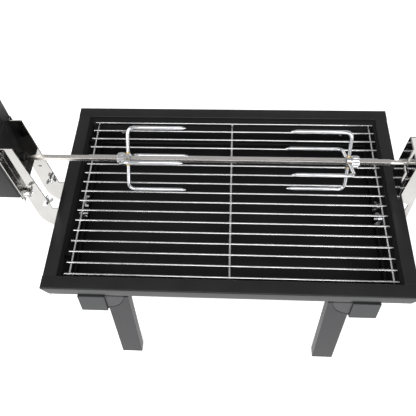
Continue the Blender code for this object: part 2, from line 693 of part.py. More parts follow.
def build_output(shop):
    """Output gear, shaft and hub on the spit's axis, and the bush that they turn in."""
    axis = (0.0, AXIS_Z)
    drive = shop.pivot("drive_pivot", (MOTOR_PLATE_X, *axis))
    turn = math.pi / 2 + math.pi / WHEEL_TEETH
    wheel = gear(WHEEL_TEETH, turn, *OUTPUT_WHEEL_X, axis)
    back, front = OUTPUT_WHEEL_X
    bore = x_rod(back - 5 * MM, front + 5 * MM, axis, SHAFT_R + 0.4 * MM)
    shop.part("output_gear", wheel, "white_nylon", cuts=[bore], pivot=drive)
    shop.part("output_shaft", x_rod(*SHAFT_X, axis, SHAFT_R), "zinc", pivot=drive, smooth=True)
    hub = x_rod(*HUB_X, axis, HUB_R, 20)
    half = HUB_SOCKET / 2
    floor, mouth = HUB_X[0] + HUB_FLOOR, HUB_X[1] + 4 * MM
    socket = box((floor, -half, AXIS_Z - half), (mouth, half, AXIS_Z + half))
    shop.part("drive_hub", hub, "zinc", cuts=[socket], pivot=drive, smooth=True)
    bush = x_rod(front + MM, CASE_FRONT_X - GAP, axis, BUSH_R, 16)
    running = x_rod(front - 3 * MM, MOTOR_PLATE_X + 5 * MM, axis, SHAFT_R + 0.4 * MM, 16)
    shop.part("output_bush", bush, "brass", cuts=[running])


def build_idler(shop):
    """Double gear on a fixed pin: its wheel meets the motor pinion, its pinion the output gear."""
    back, front = IDLER_WHEEL_X
    pivot = shop.pivot("idler_pivot", (back, *IDLER_AT))
    big = gear(WHEEL_TEETH, ROTOR_ANGLE + math.pi / WHEEL_TEETH, *IDLER_WHEEL_X, IDLER_AT)
    small_x = (front - MM, OUTPUT_WHEEL_X[1] + 0.5 * MM)
    small = gear(PINION_TEETH, -math.pi / 2, *small_x, IDLER_AT)
    bore = x_rod(back - 5 * MM, small_x[1] + 5 * MM, IDLER_AT, 2.9 * MM)
    shop.part("idler_gear", big, "white_nylon", joins=[small], cuts=[bore], pivot=pivot)
    pin = x_rod(back - 4 * MM, CASE_FRONT_X - CASE_WALL - GAP, IDLER_AT, 2.5 * MM)
    shop.part("idler_pin", pin, "zinc", smooth=True)


def build_motor(shop):
    """Motor can with the pinion on its stem."""
    back = IDLER_WHEEL_X[0]
    pivot = shop.pivot("rotor_pivot", (back, *ROTOR_AT))
    pinion = gear(PINION_TEETH, ROTOR_ANGLE + math.pi, *IDLER_WHEEL_X, ROTOR_AT)
    stem = x_rod(back - 11 * MM, back + MM, ROTOR_AT, 2 * MM)
    shop.part("motor_pinion", pinion, "brass", joins=[stem], pivot=pivot)
    can = x_rod(*CAN_X, ROTOR_AT, CAN_R, 20)
    bore = x_rod(back - 12 * MM, back, ROTOR_AT, 2.5 * MM)
    shop.part("motor_can", can, "zinc", cuts=[bore], smooth=True)


def build_spit(shop, drive):
    pivot = shop.pivot("spit_pivot", (0, 0, AXIS_Z), drive)
    half = SPIT_SIDE / 2
    low, high = (SPIT_TAPER_X, -half, AXIS_Z - half), (SPIT_SHOULDER_X, half, AXIS_Z + half)
    shaft = box(low, high)
    corner = math.sqrt(0.5)
    taper = rod(
        (SPIT_TIP_X, 0, AXIS_Z), (SPIT_TAPER_X + 0.01 * MM, 0, AXIS_Z),
        SPIT_TIP_SIDE * corner, 4, SPIT_SIDE * corner,
    )
    taper.matrix_world = taper.matrix_world @ Matrix.Rotation(math.pi / 4, 4, "Z")
    journal = x_rod(SPIT_SHOULDER_X - MM, JOURNAL_END_X, (0, AXIS_Z), JOURNAL_R, 16)
    shop.part("spit_rod", shaft, "stainless", joins=[taper, journal], pivot=pivot)
    build_sleeve(shop, "stop_collar", STOP_COLLAR_X, STOP_COLLAR_R, "zinc", pivot)
    build_sleeve(shop, "handle_ferrule", FERRULE_X, FERRULE_R, "stainless", pivot)
    shop.part("spit_handle", handle_shape(), "black_plastic", pivot=pivot, smooth=True)
    return pivot


def build_sleeve(shop, name, ends, radius, finish, pivot):
    """A plain ring on the spit's journal."""
    axis = (0, AXIS_Z)
    ring = x_rod(*ends, axis, radius, 20)
    bore = x_rod(ends[0] - 5 * MM, ends[1] + 5 * MM, axis, JOURNAL_R + 0.4 * MM, 16)
    shop.part(name, ring, finish, cuts=[bore], pivot=pivot, smooth=True)


def handle_shape():
    """Turned grip: a profile along the spit, spun about its axis."""
    start = FERRULE_X[1] + GAP
    length = HANDLE_END_X - start
    radii = ((0.0, 10.5), (0.04, 12.0), (0.3, 13.5), (0.55, 12.2), (0.85, 14.5), (0.96, 13.2), (1, 9))
    mesh = bmesh.new()
    profile = [(0.0, length)] + [(r * MM, t * length) for t, r in reversed(radii)] + [(0.0, 0.0)]
    verts = [mesh.verts.new((r, 0, z)) for r, z in profile]
    for a, b in zip(verts, verts[1:]):
        mesh.edges.new((a, b))
    grip = place_mesh("tool", mesh, Matrix.Translation((start, 0, AXIS_Z)) @ turn_z_to_x())
    screw = grip.modifiers.new("turned", "SCREW")
    screw.steps = 16
    screw.render_steps = 16
    screw.use_merge_vertices = True
    screw.merge_threshold = 0.0001
    return grip


def turn_z_to_x():
    return Matrix.Rotation(math.pi / 2, 4, "Y")


def prong_points(direction, points):
    """A prong that leaves the collar along direction and bends to run along the spit."""
    start = 8 * MM
    path = [start * direction]
    for u, v in arc((PRONG_BEND, PRONG_CIRCLE - PRONG_BEND), PRONG_BEND, 180, 90, 3):
        path.append(v * direction + points * u * ALONG["X"])
    path.append(PRONG_CIRCLE * direction + points * (PRONG_LENGTH - PRONG_TIP) * ALONG["X"])
    path.append(PRONG_CIRCLE * direction + points * PRONG_LENGTH * ALONG["X"])
    return path


def build_fork(shop, name, spec, spit):
    at = Vector((spec["x"], 0, AXIS_Z))
    points = spec["points"]
    pivot = shop.pivot(f"{name}_fork_pivot", at, spit)
    ring_r, ring_length = FORK_RING
    half = ring_length / 2 * ALONG["X"]
    ring = rod(at - half, at + half, ring_r, 16)
    prongs = []
    for k in range(4):
        angle = math.radians(spec["turn"] + 90 * k)
        direction = Vector((0, math.cos(angle), math.sin(angle)))
        path = [at + step for step in prong_points(direction, points)]
        prongs.append(wire(path, PRONG_R, tip=0.25))
    shop.part(f"{name}_fork", ring, "chrome", joins=prongs, cuts=[square_hole(at.x)], pivot=pivot)
    build_collar(shop, name, at - points * (ring_length / 2 + GAP) * ALONG["X"], points, pivot)


def square_hole(x):
    side = SPIT_SIDE / 2 + 0.4 * MM
    return box((x - 30 * MM, -side, AXIS_Z - side), (x + 30 * MM, side, AXIS_Z + side))


def build_collar(shop, name, near, points, pivot):
    """Clamp collar behind the fork's ring, and the thumbscrew that locks it on the spit."""
    far = near - points * COLLAR_LENGTH * ALONG["X"]
    middle = (near + far) / 2
    radial = Vector((0, math.cos(THUMBSCREW_TURN), math.sin(THUMBSCREW_TURN)))
    thread = rod(middle, middle + 20 * MM * radial, 2.9 * MM)
    collar = rod(near, far, COLLAR_R, 20)
    cuts = [square_hole(middle.x), thread]
    shop.part(f"{name}_fork_collar", collar, "chrome", cuts=cuts, pivot=pivot, smooth=True)
    head_r, head_h = THUMBSCREW_HEAD
    seat = COLLAR_R + MM
    screw_pivot = shop.pivot(f"{name}_thumbscrew_pivot", middle + seat * radial, pivot)
    shank = rod(middle + (SPIT_SIDE / 2 + 2 * MM) * radial, middle + (seat + 2 * MM) * radial, 2.5 * MM)
    head = rod(middle + seat * radial, middle + (seat + head_h) * radial, head_r, 10)
    shop.part(f"{name}_thumbscrew", head, "zinc", joins=[shank], pivot=screw_pivot)


def main():
    clear_scene()
    shop = Workshop()
    build_tray(shop)
    build_grate(shop)
    for side in (-1, 1):
        for end in (-1, 1):
            build_leg(shop, side, end)
    build_left_support(shop)
    build_right_upright(shop)
    build_wall_bolts(shop)
    build_motor_plate(shop)
    build_motor_case(shop)
    build_output(shop)
    build_idler(shop)
    build_motor(shop)
    spit = build_spit(shop, bpy.data.objects["drive_pivot"])
    for name, spec in FORKS.items():
        build_fork(shop, name, spec, spit)


main()
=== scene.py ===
"""Looks of the rotisserie spit roaster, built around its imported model. Metres, +Z up."""

import json
import math

import bmesh
import bpy
from mathutils import Matrix, Vector


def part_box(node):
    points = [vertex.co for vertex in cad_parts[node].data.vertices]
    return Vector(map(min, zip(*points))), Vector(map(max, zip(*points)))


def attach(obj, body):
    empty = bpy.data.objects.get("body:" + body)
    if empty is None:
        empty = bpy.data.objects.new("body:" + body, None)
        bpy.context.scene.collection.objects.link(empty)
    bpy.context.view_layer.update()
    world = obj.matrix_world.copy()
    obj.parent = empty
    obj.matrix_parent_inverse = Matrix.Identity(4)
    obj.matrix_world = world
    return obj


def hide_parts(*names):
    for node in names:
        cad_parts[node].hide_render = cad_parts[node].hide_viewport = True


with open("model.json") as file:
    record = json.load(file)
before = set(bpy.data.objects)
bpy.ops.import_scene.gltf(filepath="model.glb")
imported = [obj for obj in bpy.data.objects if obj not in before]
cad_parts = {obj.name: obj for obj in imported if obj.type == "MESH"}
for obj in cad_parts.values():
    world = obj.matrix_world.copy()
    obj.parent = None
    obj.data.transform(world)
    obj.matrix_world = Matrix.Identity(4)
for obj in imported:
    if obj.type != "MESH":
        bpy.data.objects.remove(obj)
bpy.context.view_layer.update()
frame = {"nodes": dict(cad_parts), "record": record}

MM = 0.001
AXES = {"X": Vector((1, 0, 0)), "Y": Vector((0, 1, 0)), "Z": Vector((0, 0, 1))}
BODY_OF = {n: b for b, nodes in frame["record"]["behaviour"]["bodies"].items() for n in nodes}
SLOT_OF = {s["node"]: s["material_slot"] for s in frame["record"]["subparts"]}
ROOT = BODY_OF["tray"]
CORNERS = [f"{end}_{side}" for end in ("front", "rear") for side in ("left", "right")]

TRAY_LOW, TRAY_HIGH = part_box("tray")
RIM_X, RIM_Y, RIM_Z = TRAY_HIGH
RIM_WIDTH = 25 * MM
LIP = 25 * MM
OPEN_X, OPEN_Y = RIM_X - RIM_WIDTH, RIM_Y - RIM_WIDTH
LIP_CUT = 11 * MM  # how far the lower corners of the front and rear lips are cut back
SEAM = 0.4 * MM
SPIT_LOW, SPIT_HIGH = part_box("spit_rod")
AXIS_Z = (SPIT_LOW[2] + SPIT_HIGH[2]) / 2


# ---------------------------------------------------------------- materials

def node(tree, kind, **inputs):
    """A shader node with its inputs set from values or linked from sockets."""
    found = tree.nodes.new(kind)
    for name, value in inputs.items():
        socket = found.inputs[name.replace("_", " ")]
        if isinstance(value, bpy.types.NodeSocket):
            tree.links.new(value, socket)
        else:
            socket.default_value = value
    return found


def spread(tree, factor, low, high):
    """A number that goes from low to high as factor goes from 0.3 to 0.7."""
    found = node(tree, "ShaderNodeMapRange", Value=factor, From_Min=0.3, From_Max=0.7)
    found.inputs["To Min"].default_value = low
    found.inputs["To Max"].default_value = high
    return found.outputs["Result"]


def stretched(tree, scale):
    place = tree.nodes.new("ShaderNodeTexCoord").outputs["Object"]
    return node(tree, "ShaderNodeMapping", Vector=place, Scale=scale).outputs["Vector"]


def tint(tree, factor, low, high):
    found = tree.nodes.new("ShaderNodeMix")
    found.data_type = "RGBA"
    tree.links.new(factor, found.inputs["Factor"])
    found.inputs[6].default_value = (*low, 1)
    found.inputs[7].default_value = (*high, 1)
    return found.outputs[2]


def surface(name, low, high, rough, metallic=0.0, grain=(400, 400, 400), bump=0.1, depth=0.0002,
            patch=18.0, specular=0.5):
    """A finish with large soft patches in colour and roughness, and a fine grain in its bump.

    grain is the noise scale along X, Y and Z: unequal numbers give a brushed or drawn surface.
    """
    material = bpy.data.materials.new(name)
    material.use_nodes = True
    tree = material.node_tree
    shader = tree.nodes["Principled BSDF"]
    shader.inputs["Metallic"].default_value = metallic
    shader.inputs["Specular IOR Level"].default_value = specular
    patches = node(tree, "ShaderNodeTexNoise", Vector=stretched(tree, (1, 1, 1)), Scale=patch, Detail=4.0)
    fine = node(tree, "ShaderNodeTexNoise", Vector=stretched(tree, grain), Scale=1.0, Detail=3.0)
    color = tint(tree, spread(tree, patches.outputs["Fac"], 0, 1), low, high)
    tree.links.new(color, shader.inputs["Base Color"])
    blend = node(tree, "ShaderNodeMath", Value=patches.outputs["Fac"])
    blend.operation = "ADD"
    tree.links.new(fine.outputs["Fac"], blend.inputs[1])
    half = node(tree, "ShaderNodeMath", Value=blend.outputs["Value"])
    half.operation = "MULTIPLY"
    half.inputs[1].default_value = 0.5
    tree.links.new(spread(tree, half.outputs["Value"], *rough), shader.inputs["Roughness"])
    if bump:
        lift = node(tree, "ShaderNodeBump", Height=fine.outputs["Fac"], Strength=bump, Distance=depth)
        tree.links.new(lift.outputs["Normal"], shader.inputs["Normal"])
    return material


MATERIALS = {
    "enamel": surface("black_enamel", (0.0045, 0.0045, 0.005), (0.008, 0.008, 0.0085), (0.26, 0.38),
                      grain=(900, 900, 900), bump=0.12, depth=0.0003, specular=0.38),
    "inside": surface("inside_enamel", (0.0045, 0.0045, 0.005), (0.0085, 0.0085, 0.009), (0.42, 0.62),
                      grain=(700, 700, 700), bump=0.2, depth=0.0003, patch=9.0, specular=0.14),
    "leg": surface("leg_paint", (0.013, 0.012, 0.014), (0.018, 0.017, 0.020), (0.34, 0.48),
                   grain=(1300, 1300, 1300), bump=0.15, depth=0.0003, specular=0.34),
    # Lighter, glossier copy of the leg paint for the knee: a painted sheen where the bent tube face catches
    # the light.
    "elbow": surface("knee_painted_sheen", (0.022, 0.021, 0.025), (0.030, 0.029, 0.034), (0.34, 0.48),
                     grain=(1300, 1300, 1300), bump=0.2, depth=0.0003, specular=0.45),
    "chrome": surface("chrome_wire", (0.55, 0.55, 0.56), (0.68, 0.68, 0.68), (0.12, 0.26), 1.0,
                      grain=(60, 1500, 1500), bump=0.05, depth=0.0001, patch=30.0),
    "fork": surface("fork_chrome", (0.56, 0.57, 0.60), (0.70, 0.70, 0.71), (0.06, 0.18), 1.0,
                    grain=(500, 500, 500), bump=0.06, depth=0.0001, patch=60.0),
    "spit": surface("drawn_stainless", (0.60, 0.575, 0.545), (0.67, 0.645, 0.62), (0.20, 0.30), 1.0,
                    grain=(14, 1800, 1800), bump=0.10, depth=0.0001, patch=6.0),
    "sheet": surface("polished_stainless", (0.40, 0.39, 0.375), (0.50, 0.49, 0.475), (0.04, 0.12), 1.0,
                     grain=(900, 900, 30), bump=0.04, depth=0.0001, patch=14.0),
    "zinc": surface("bright_zinc", (0.74, 0.75, 0.77), (0.88, 0.88, 0.88), (0.20, 0.36), 1.0,
                    grain=(700, 700, 700), bump=0.12, depth=0.0002, patch=90.0),
    "plastic": surface("moulded_plastic", (0.007, 0.007, 0.008), (0.012, 0.012, 0.013), (0.36, 0.5),
                       grain=(1600, 1600, 1600), bump=0.35, depth=0.0003, specular=0.25),
    "sleeve": surface("sleeve_plastic", (0.015, 0.017, 0.018), (0.021, 0.023, 0.024), (0.28, 0.40),
                      grain=(900, 900, 900), bump=0.18, depth=0.0002, specular=0.34),
    "brass": surface("brass", (0.50, 0.38, 0.19), (0.62, 0.50, 0.29), (0.22, 0.40), 1.0,
                     grain=(600, 600, 600), bump=0.2, depth=0.0002, patch=120.0),
    "nylon": surface("white_nylon", (0.70, 0.69, 0.64), (0.78, 0.77, 0.72), (0.38, 0.52),
                     grain=(500, 500, 500), bump=0.1, depth=0.0002),
    "wrap": surface("cell_wrap", (0.20, 0.20, 0.22), (0.26, 0.26, 0.28), (0.25, 0.4),
                    grain=(300, 300, 300), bump=0.05, depth=0.0002),
}


# ---------------------------------------------------------------- mesh helpers

def as_object(name, mesh, smooth=True, sharp=35):
    data = bpy.data.meshes.new(name)
    bmesh.ops.recalc_face_normals(mesh, faces=mesh.faces)
    mesh.to_mesh(data)
    mesh.free()
    if smooth:
        data.shade_smooth()
        data.set_sharp_from_angle(angle=math.radians(sharp))
    found = bpy.data.objects.new(name, data)
    bpy.context.scene.collection.objects.link(found)
    return found


def dress(piece, body, material, slot, *nodes):
    """Gives a piece its material and body, and hides the nodes that it stands for."""
    piece.data.materials.clear()
    piece.data.materials.append(MATERIALS[material])
    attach(piece, body)
    if nodes:
        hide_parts(*nodes)
    return piece


def stand_for(name, piece, material):
    """Dresses a piece that takes the place of one node."""
    return dress(piece, BODY_OF[name], material, SLOT_OF[name], name)


def rounded(piece, width, segments=3, angle=35):
    bevel = piece.modifiers.new("rounded", "BEVEL")
    bevel.width = width
    bevel.segments = segments
    bevel.limit_method = "ANGLE"
    bevel.angle_limit = math.radians(angle)
    bevel.harden_normals = True
    bevel.miter_outer = "MITER_ARC"
    return piece


def refined(name, material, width, segments=3, angle=35):
    """The node's own shape with its flat faces whole again and its edges rounded."""
    mesh = bmesh.new()
    mesh.from_mesh(frame["nodes"][name].data)
    bmesh.ops.remove_doubles(mesh, verts=mesh.verts, dist=1e-6)
    bmesh.ops.dissolve_limit(mesh, angle_limit=math.radians(1), verts=mesh.verts, edges=mesh.edges)
    piece = as_object(f"{name}_shape", mesh, smooth=True, sharp=angle)
    rounded(piece, width, segments, angle)
    return stand_for(name, piece, material)


def box_mesh(mesh, low, high):
    low, high = Vector(low), Vector(high)
    place = Matrix.Translation((low + high) / 2) @ Matrix.Diagonal((*(high - low), 1))
    return bmesh.ops.create_cube(mesh, size=1, matrix=place)["verts"]


def frame_along(direction):
    return Vector(direction).to_track_quat("Z", "Y").to_matrix().to_4x4()


def ring_of(mesh, place, along, reach, steps):
    """A loop of points round Z at the height along; reach is a radius, or gives one for each point."""
    ring = []
    for i in range(steps):
        angle = 2 * math.pi * i / steps
        radius = reach(i, angle) if callable(reach) else reach
        point = Vector((radius * math.cos(angle), radius * math.sin(angle), along))
        ring.append(mesh.verts.new(place @ point))
    return ring


def bridge(mesh, rings, closed=False):
    """Faces from each ring to the next, and from the last to the first if closed."""
    for a, b in zip(rings, rings[1:] + rings[:1] if closed else rings[1:]):
        for i in range(len(a)):
            j = (i + 1) % len(a)
            mesh.faces.new((a[i], a[j], b[j], b[i]))


def cap(mesh, rings):
    mesh.faces.new(list(reversed(rings[0])))
    mesh.faces.new(rings[-1])


def turned(profile, start, direction, steps=48, mesh=None):
    """A closed turned shape: profile is (distance along, radius) pairs from start along direction."""
    mesh = mesh or bmesh.new()
    place = Matrix.Translation(start) @ frame_along(direction)
    rings = [ring_of(mesh, place, along, radius, steps) for along, radius in profile]
    bridge(mesh, rings)
    cap(mesh, rings)
    return mesh


def ring_shape(profile, start, direction, steps=48):
    """A turned shape with a hole: profile goes round the section and closes on itself."""
    mesh = bmesh.new()
    place = Matrix.Translation(start) @ frame_along(direction)
    bridge(mesh, [ring_of(mesh, place, along, radius, steps) for along, radius in profile], closed=True)
    return mesh


def tube(points, radius, sides=14, radii=None, mesh=None):
    """A round wire through points, closed at both ends; radii scales it at each point."""
    mesh = mesh or bmesh.new()
    points = [Vector(p) for p in points]
    radii = radii or [1.0] * len(points)
    guide = None
    rings = []
    for i, point in enumerate(points):
        ahead = points[min(i + 1, len(points) - 1)] - points[max(i - 1, 0)]
        ahead.normalize()
        if guide is None:
            guide = ahead.orthogonal().normalized()
        guide = (guide - ahead * guide.dot(ahead)).normalized()
        side = ahead.cross(guide)
        ring = []
        for k in range(sides):
            angle = 2 * math.pi * k / sides
            reach = radius * radii[i]
            offset = guide * reach * math.cos(angle) + side * reach * math.sin(angle)
            ring.append(mesh.verts.new(point + offset))
        rings.append(ring)
    bridge(mesh, rings)
    cap(mesh, rings)
    return mesh


def wire_path(points, bend, steps=8):
    """The same path with each inner corner turned into an arc-like bend of about this radius."""
    points = [Vector(p) for p in points]
    path = [points[0]]
    for before, corner, after in zip(points, points[1:], points[2:]):
        start = corner + (before - corner).normalized() * bend
        end = corner + (after - corner).normalized() * bend
        for i in range(steps + 1):
            t = i / steps
            path.append(start * (1 - t) ** 2 + corner * 2 * t * (1 - t) + end * t**2)
    path.append(points[-1])
    return path


def prism(outline, normal, low, high, mesh=None):
    """A closed flat outline given thickness along normal, from low to high. Points are 3-D."""
    mesh = mesh or bmesh.new()
    normal = Vector(normal)
    near = [mesh.verts.new(Vector(p) + normal * low) for p in outline]
    far = [mesh.verts.new(Vector(p) + normal * high) for p in outline]
    mesh.faces.new(list(reversed(near)))
    mesh.faces.new(far)
    for i in range(len(outline)):
        j = (i + 1) % len(outline)
        mesh.faces.new((near[i], near[j], far[j], far[i]))
    return mesh


def blob(mesh, centre, size):
    place = Matrix.Translation(centre) @ Matrix.Diagonal((*size, 1))
    bmesh.ops.create_icosphere(mesh, subdivisions=2, radius=1, matrix=place)


# ---------------------------------------------------------------- tray

def strip(section, along, across, half):
    """A bent strip: section is (out, z, end trim) triples, along runs from -half to half."""
    mesh = bmesh.new()
    rows = []
    for out, z, trim in section:
        point = across * out + AXES["Z"] * z
        reach = along * (half - trim)
        rows.append([mesh.verts.new(point - reach), mesh.verts.new(point + reach)])
    for a, b in zip(rows, rows[1:]):
        mesh.faces.new((a[0], a[1], b[1], b[0]))
    return mesh


def bend(centre, radius, start, end, steps=5):
    return [
        (centre[0] + radius * math.cos(math.radians(start + (end - start) * i / steps)),
         centre[1] + radius * math.sin(math.radians(start + (end - start) * i / steps)))
        for i in range(steps + 1)
    ]


def sheet_of(piece, thickness, offset=-1):
    solid = piece.modifiers.new("sheet", "SOLIDIFY")
    solid.thickness = thickness
    solid.offset = offset
    solid.use_even_offset = True
    return piece


def rim_section(taper):
    """Flat rim and lip, from the inner edge outwards and down, as (out from rim edge, z, trim)."""
    radius = 2.2 * MM
    points = [(-RIM_WIDTH + 0.2 * MM, RIM_Z - 9 * MM)]
    points += bend((-RIM_WIDTH + 2 * MM, RIM_Z - 1.8 * MM), 1.8 * MM, 180, 90, 4)
    points += bend((-radius, RIM_Z - radius), radius, 90, 0)
    points.append((0, RIM_Z - LIP))
    found = []
    for out, z in points:
        drop = max(0.0, RIM_Z - radius - z) if out > -radius else 0.0
        found.append((out, z, taper * drop / LIP))
    return found


def build_rim():
    """Front and rear strips at full length, with the side strips butted between them."""
    for end in (-1, 1):
        section = [(RIM_Y + out, z, trim) for out, z, trim in rim_section(LIP_CUT)]
        build_rim_strip("front" if end < 0 else "rear", section, AXES["X"], AXES["Y"] * end, RIM_X)
    for side in (-1, 1):
        section = [(RIM_X + out, z, trim) for out, z, trim in rim_section(0)]
        half = OPEN_Y - SEAM
        build_rim_strip("left" if side < 0 else "right", section, AXES["Y"], AXES["X"] * side, half)
        for end in (-1, 1):
            build_corner(side, end)


def build_rim_strip(label, section, along, across, half):
    piece = as_object(f"rim_{label}", strip(section, along, across, half))
    face_out(piece)
    rounded(sheet_of(piece, 1.6 * MM), 0.3 * MM, 2)
    dress(piece, ROOT, "enamel", SLOT_OF["tray"])


def face_out(piece):
    """Turns the faces of an open sheet so that the top and the lip look up and out."""
    mesh = bmesh.new()
    mesh.from_mesh(piece.data)
    mesh.faces.ensure_lookup_table()
    top = max(mesh.faces, key=lambda face: face.calc_area() * abs(face.normal.z))
    if top.normal.z < 0:
        bmesh.ops.reverse_faces(mesh, faces=mesh.faces)
    mesh.to_mesh(piece.data)
    mesh.free()


def build_corner(side, end):
    """Side lip carried round to the front or rear strip, and a backing that closes the seam."""
    x = side * RIM_X
    y0, y1 = OPEN_Y - SEAM / 2, RIM_Y - 2.5 * MM
    low = RIM_Z - LIP
    outline = [(y0, RIM_Z - 2.4 * MM), (y1, RIM_Z - 2.4 * MM), (y1 - LIP_CUT + MM, low), (y0, low)]
    mesh = prism([(x, end * y, z) for y, z in outline], AXES["X"] * -side, 0, 1.6 * MM)
    ys = sorted((end * (OPEN_Y - 3 * MM), end * (OPEN_Y + 4 * MM)))
    xs = sorted((side * (OPEN_X + 0.5 * MM), side * (RIM_X - 2.2 * MM)))
    box_mesh(mesh, (xs[0], ys[0], RIM_Z - 2.4 * MM), (xs[1], ys[1], RIM_Z - 0.15 * MM))
    label = f"{'front' if end < 0 else 'rear'}_{'left' if side < 0 else 'right'}"
    piece = rounded(as_object(f"corner_lip_{label}", mesh), 0.3 * MM, 2)
    dress(piece, ROOT, "enamel", SLOT_OF["tray"])


def build_pan():
    """Walls and floor, with a rounded fold where they meet and shallow ribs pressed in the floor."""
    radius = 5 * MM
    floor = TRAY_LOW[2] + 2 * MM
    mesh = bmesh.new()
    steps = 5
    rings = []
    levels = [(0.0, RIM_Z - 2.0 * MM)]
    for i in range(steps + 1):
        angle = math.pi / 2 * i / steps
        levels.append((radius * (1 - math.cos(angle)), floor + radius * (1 - math.sin(angle))))
    for inset, z in levels:
        x, y = OPEN_X - inset, OPEN_Y - inset
        rings.append([mesh.verts.new(p) for p in ((-x, -y, z), (x, -y, z), (x, y, z), (-x, y, z))])
    for a, b in zip(rings, rings[1:]):
        for i in range(4):
            j = (i + 1) % 4
            mesh.faces.new((a[j], a[i], b[i], b[j]))
    pan = as_object("pan_walls", mesh)
    sheet_of(pan, 1.6 * MM, 1)
    dress(pan, ROOT, "inside", SLOT_OF["tray"], "tray")
    build_floor(floor, OPEN_X - radius, OPEN_Y - radius)


def build_floor(z, half_x, half_y):
    """Floor sheet as a fine grid, so that its pressed ribs are real relief."""
    mesh = bmesh.new()
    columns, rows = 90, 60
    grid = []
    for r in range(rows + 1):
        y = -half_y + 2 * half_y * r / rows
        line = []
        for c in range(columns + 1):
            x = -half_x + 2 * half_x * c / columns
            line.append(mesh.verts.new((x, y, z + rib_height(x, y, half_x, half_y))))
        grid.append(line)
    for r in range(rows):
        for c in range(columns):
            mesh.faces.new((grid[r][c], grid[r][c + 1], grid[r + 1][c + 1], grid[r + 1][c]))
    floor = as_object("pan_floor", mesh)
    sheet_of(floor, 1.6 * MM)
    dress(floor, ROOT, "inside", SLOT_OF["tray"])


def rib_height(x, y, half_x, half_y):
    height = 0.0
    for rib_y in (-0.6 * half_y, 0.0, 0.6 * half_y):
        across = abs(y - rib_y) / (9 * MM)
        along = max(0.0, abs(x) - 0.8 * half_x) / (9 * MM)
        height += 1.6 * MM * math.exp(-(across**2) - along**2)
    return height


def build_rest_tabs():
    """Folded tabs on the end walls, under the ends of the grate bars."""
    grate_low, grate_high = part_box("grate")
    middle = (grate_low[1] + grate_high[1]) / 2
    offset = 6 * (grate_high[1] - grate_low[1]) / 16.2
    for side in (-1, 1):
        wall = side * OPEN_X
        reach = (side * grate_high[0] if side > 0 else -grate_low[0]) - 4.5 * MM
        for end in (-1, 1):
            y = middle + end * offset
            mesh = bmesh.new()
            top = grate_high[2] - 4.3 * MM
            xs = sorted((side * reach, wall))
            box_mesh(mesh, (xs[0], y - 6 * MM, top - 1.6 * MM), (xs[1], y + 6 * MM, top))
            xs = sorted((wall, wall - side * 1.6 * MM))
            box_mesh(mesh, (xs[0], y - 6 * MM, top - 12 * MM), (xs[1], y + 6 * MM, top - 1.8 * MM))
            label = f"{'front' if end < 0 else 'rear'}_{'left' if side < 0 else 'right'}"
            piece = rounded(as_object(f"rest_tab_{label}", mesh), 0.4 * MM, 2)
            dress(piece, ROOT, "inside", SLOT_OF["tray"])


# ---------------------------------------------------------------- grate

BAR_COUNT = 17


def build_grate():
    low, high = (Vector(corner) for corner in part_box("grate"))
    bar_r, cross_r = 2 * MM, 2.5 * MM
    bar_z = high.z - bar_r
    cross_z = low.z + cross_r
    first = low.y + 3 * MM
    pitch = (high.y - low.y - 6 * MM) / (BAR_COUNT - 1)
    middle = (low.x + high.x) / 2
    cross_x = (high.x - low.x) / 2 - 8 * MM
    mesh = bmesh.new()
    for i in range(BAR_COUNT):
        y = first + i * pitch
        run = [low.x, low.x + 0.6 * MM] + [low.x + (high.x - low.x) * t / 12 for t in range(1, 12)]
        run += [high.x - 0.6 * MM, high.x]
        wave = [0.25 * MM * math.sin(1.7 * i + 5 * t) for t in range(len(run))]
        wave[0] = wave[-1] = 0
        points = [(x, y + 0.3 * w, bar_z) for x, w in zip(run, wave)]
        tube(points, bar_r, 14, [0.72] + [1.0] * (len(run) - 2) + [0.72], mesh)
    grate = as_object("grate_bars", mesh)
    dress(grate, BODY_OF["grate"], "chrome", SLOT_OF["grate"], "grate")
    mesh = bmesh.new()
    for x in (middle - cross_x, middle, middle + cross_x):
        points = [(x, y, cross_z) for y in (low.y, low.y + 0.7 * MM, high.y - 0.7 * MM, high.y)]
        tube(points, cross_r, 16, [0.72, 1, 1, 0.72], mesh)
    cross = as_object("grate_cross_rods", mesh)
    dress(cross, BODY_OF["grate"], "chrome", SLOT_OF["grate"])
    mesh = bmesh.new()
    for x in (middle - cross_x, middle, middle + cross_x):
        for i in range(BAR_COUNT):
            blob(mesh, (x, first + i * pitch, (bar_z + cross_z) / 2), (2.6 * MM, 2.3 * MM, 1.5 * MM))
    welds = as_object("grate_welds", mesh)
    dress(welds, BODY_OF["grate"], "chrome", SLOT_OF["grate"])


# ---------------------------------------------------------------- spit and forks

SPIT_SIDE = 8 * MM


def build_spit():
    half = SPIT_SIDE / 2
    tip_x, end_x = SPIT_LOW[0], SPIT_HIGH[0]
    taper_x, shoulder_x = tip_x + 44 * MM, 276 * MM
    mesh = bmesh.new()
    rings = []
    for x, h in ((tip_x, 2.1 * MM), (tip_x + 1.2 * MM, 2.5 * MM), (taper_x, half), (shoulder_x, half)):
        corners = ((-h, -h), (h, -h), (h, h), (-h, h))
        rings.append([mesh.verts.new((x, y, AXIS_Z + z)) for y, z in corners])
    bridge(mesh, rings)
    cap(mesh, rings)
    shaft = rounded(as_object("spit_shaft", mesh), 0.55 * MM, 3, 30)
    dress(shaft, BODY_OF["spit_rod"], "spit", SLOT_OF["spit_rod"], "spit_rod")
    length = end_x - shoulder_x
    profile = [(-1 * MM, 3.9 * MM), (0, 3.95 * MM), (length, 3.95 * MM)]
    journal = as_object("spit_journal", turned(profile, (shoulder_x, 0, AXIS_Z), AXES["X"], 32))
    dress(journal, BODY_OF["spit_rod"], "spit", SLOT_OF["spit_rod"])


def fork_spec(name):
    low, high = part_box(f"{name}_fork")
    if name == "left":
        return low[0] + 4 * MM, 1, 43.6
    return high[0] - 4 * MM, -1, 61.6


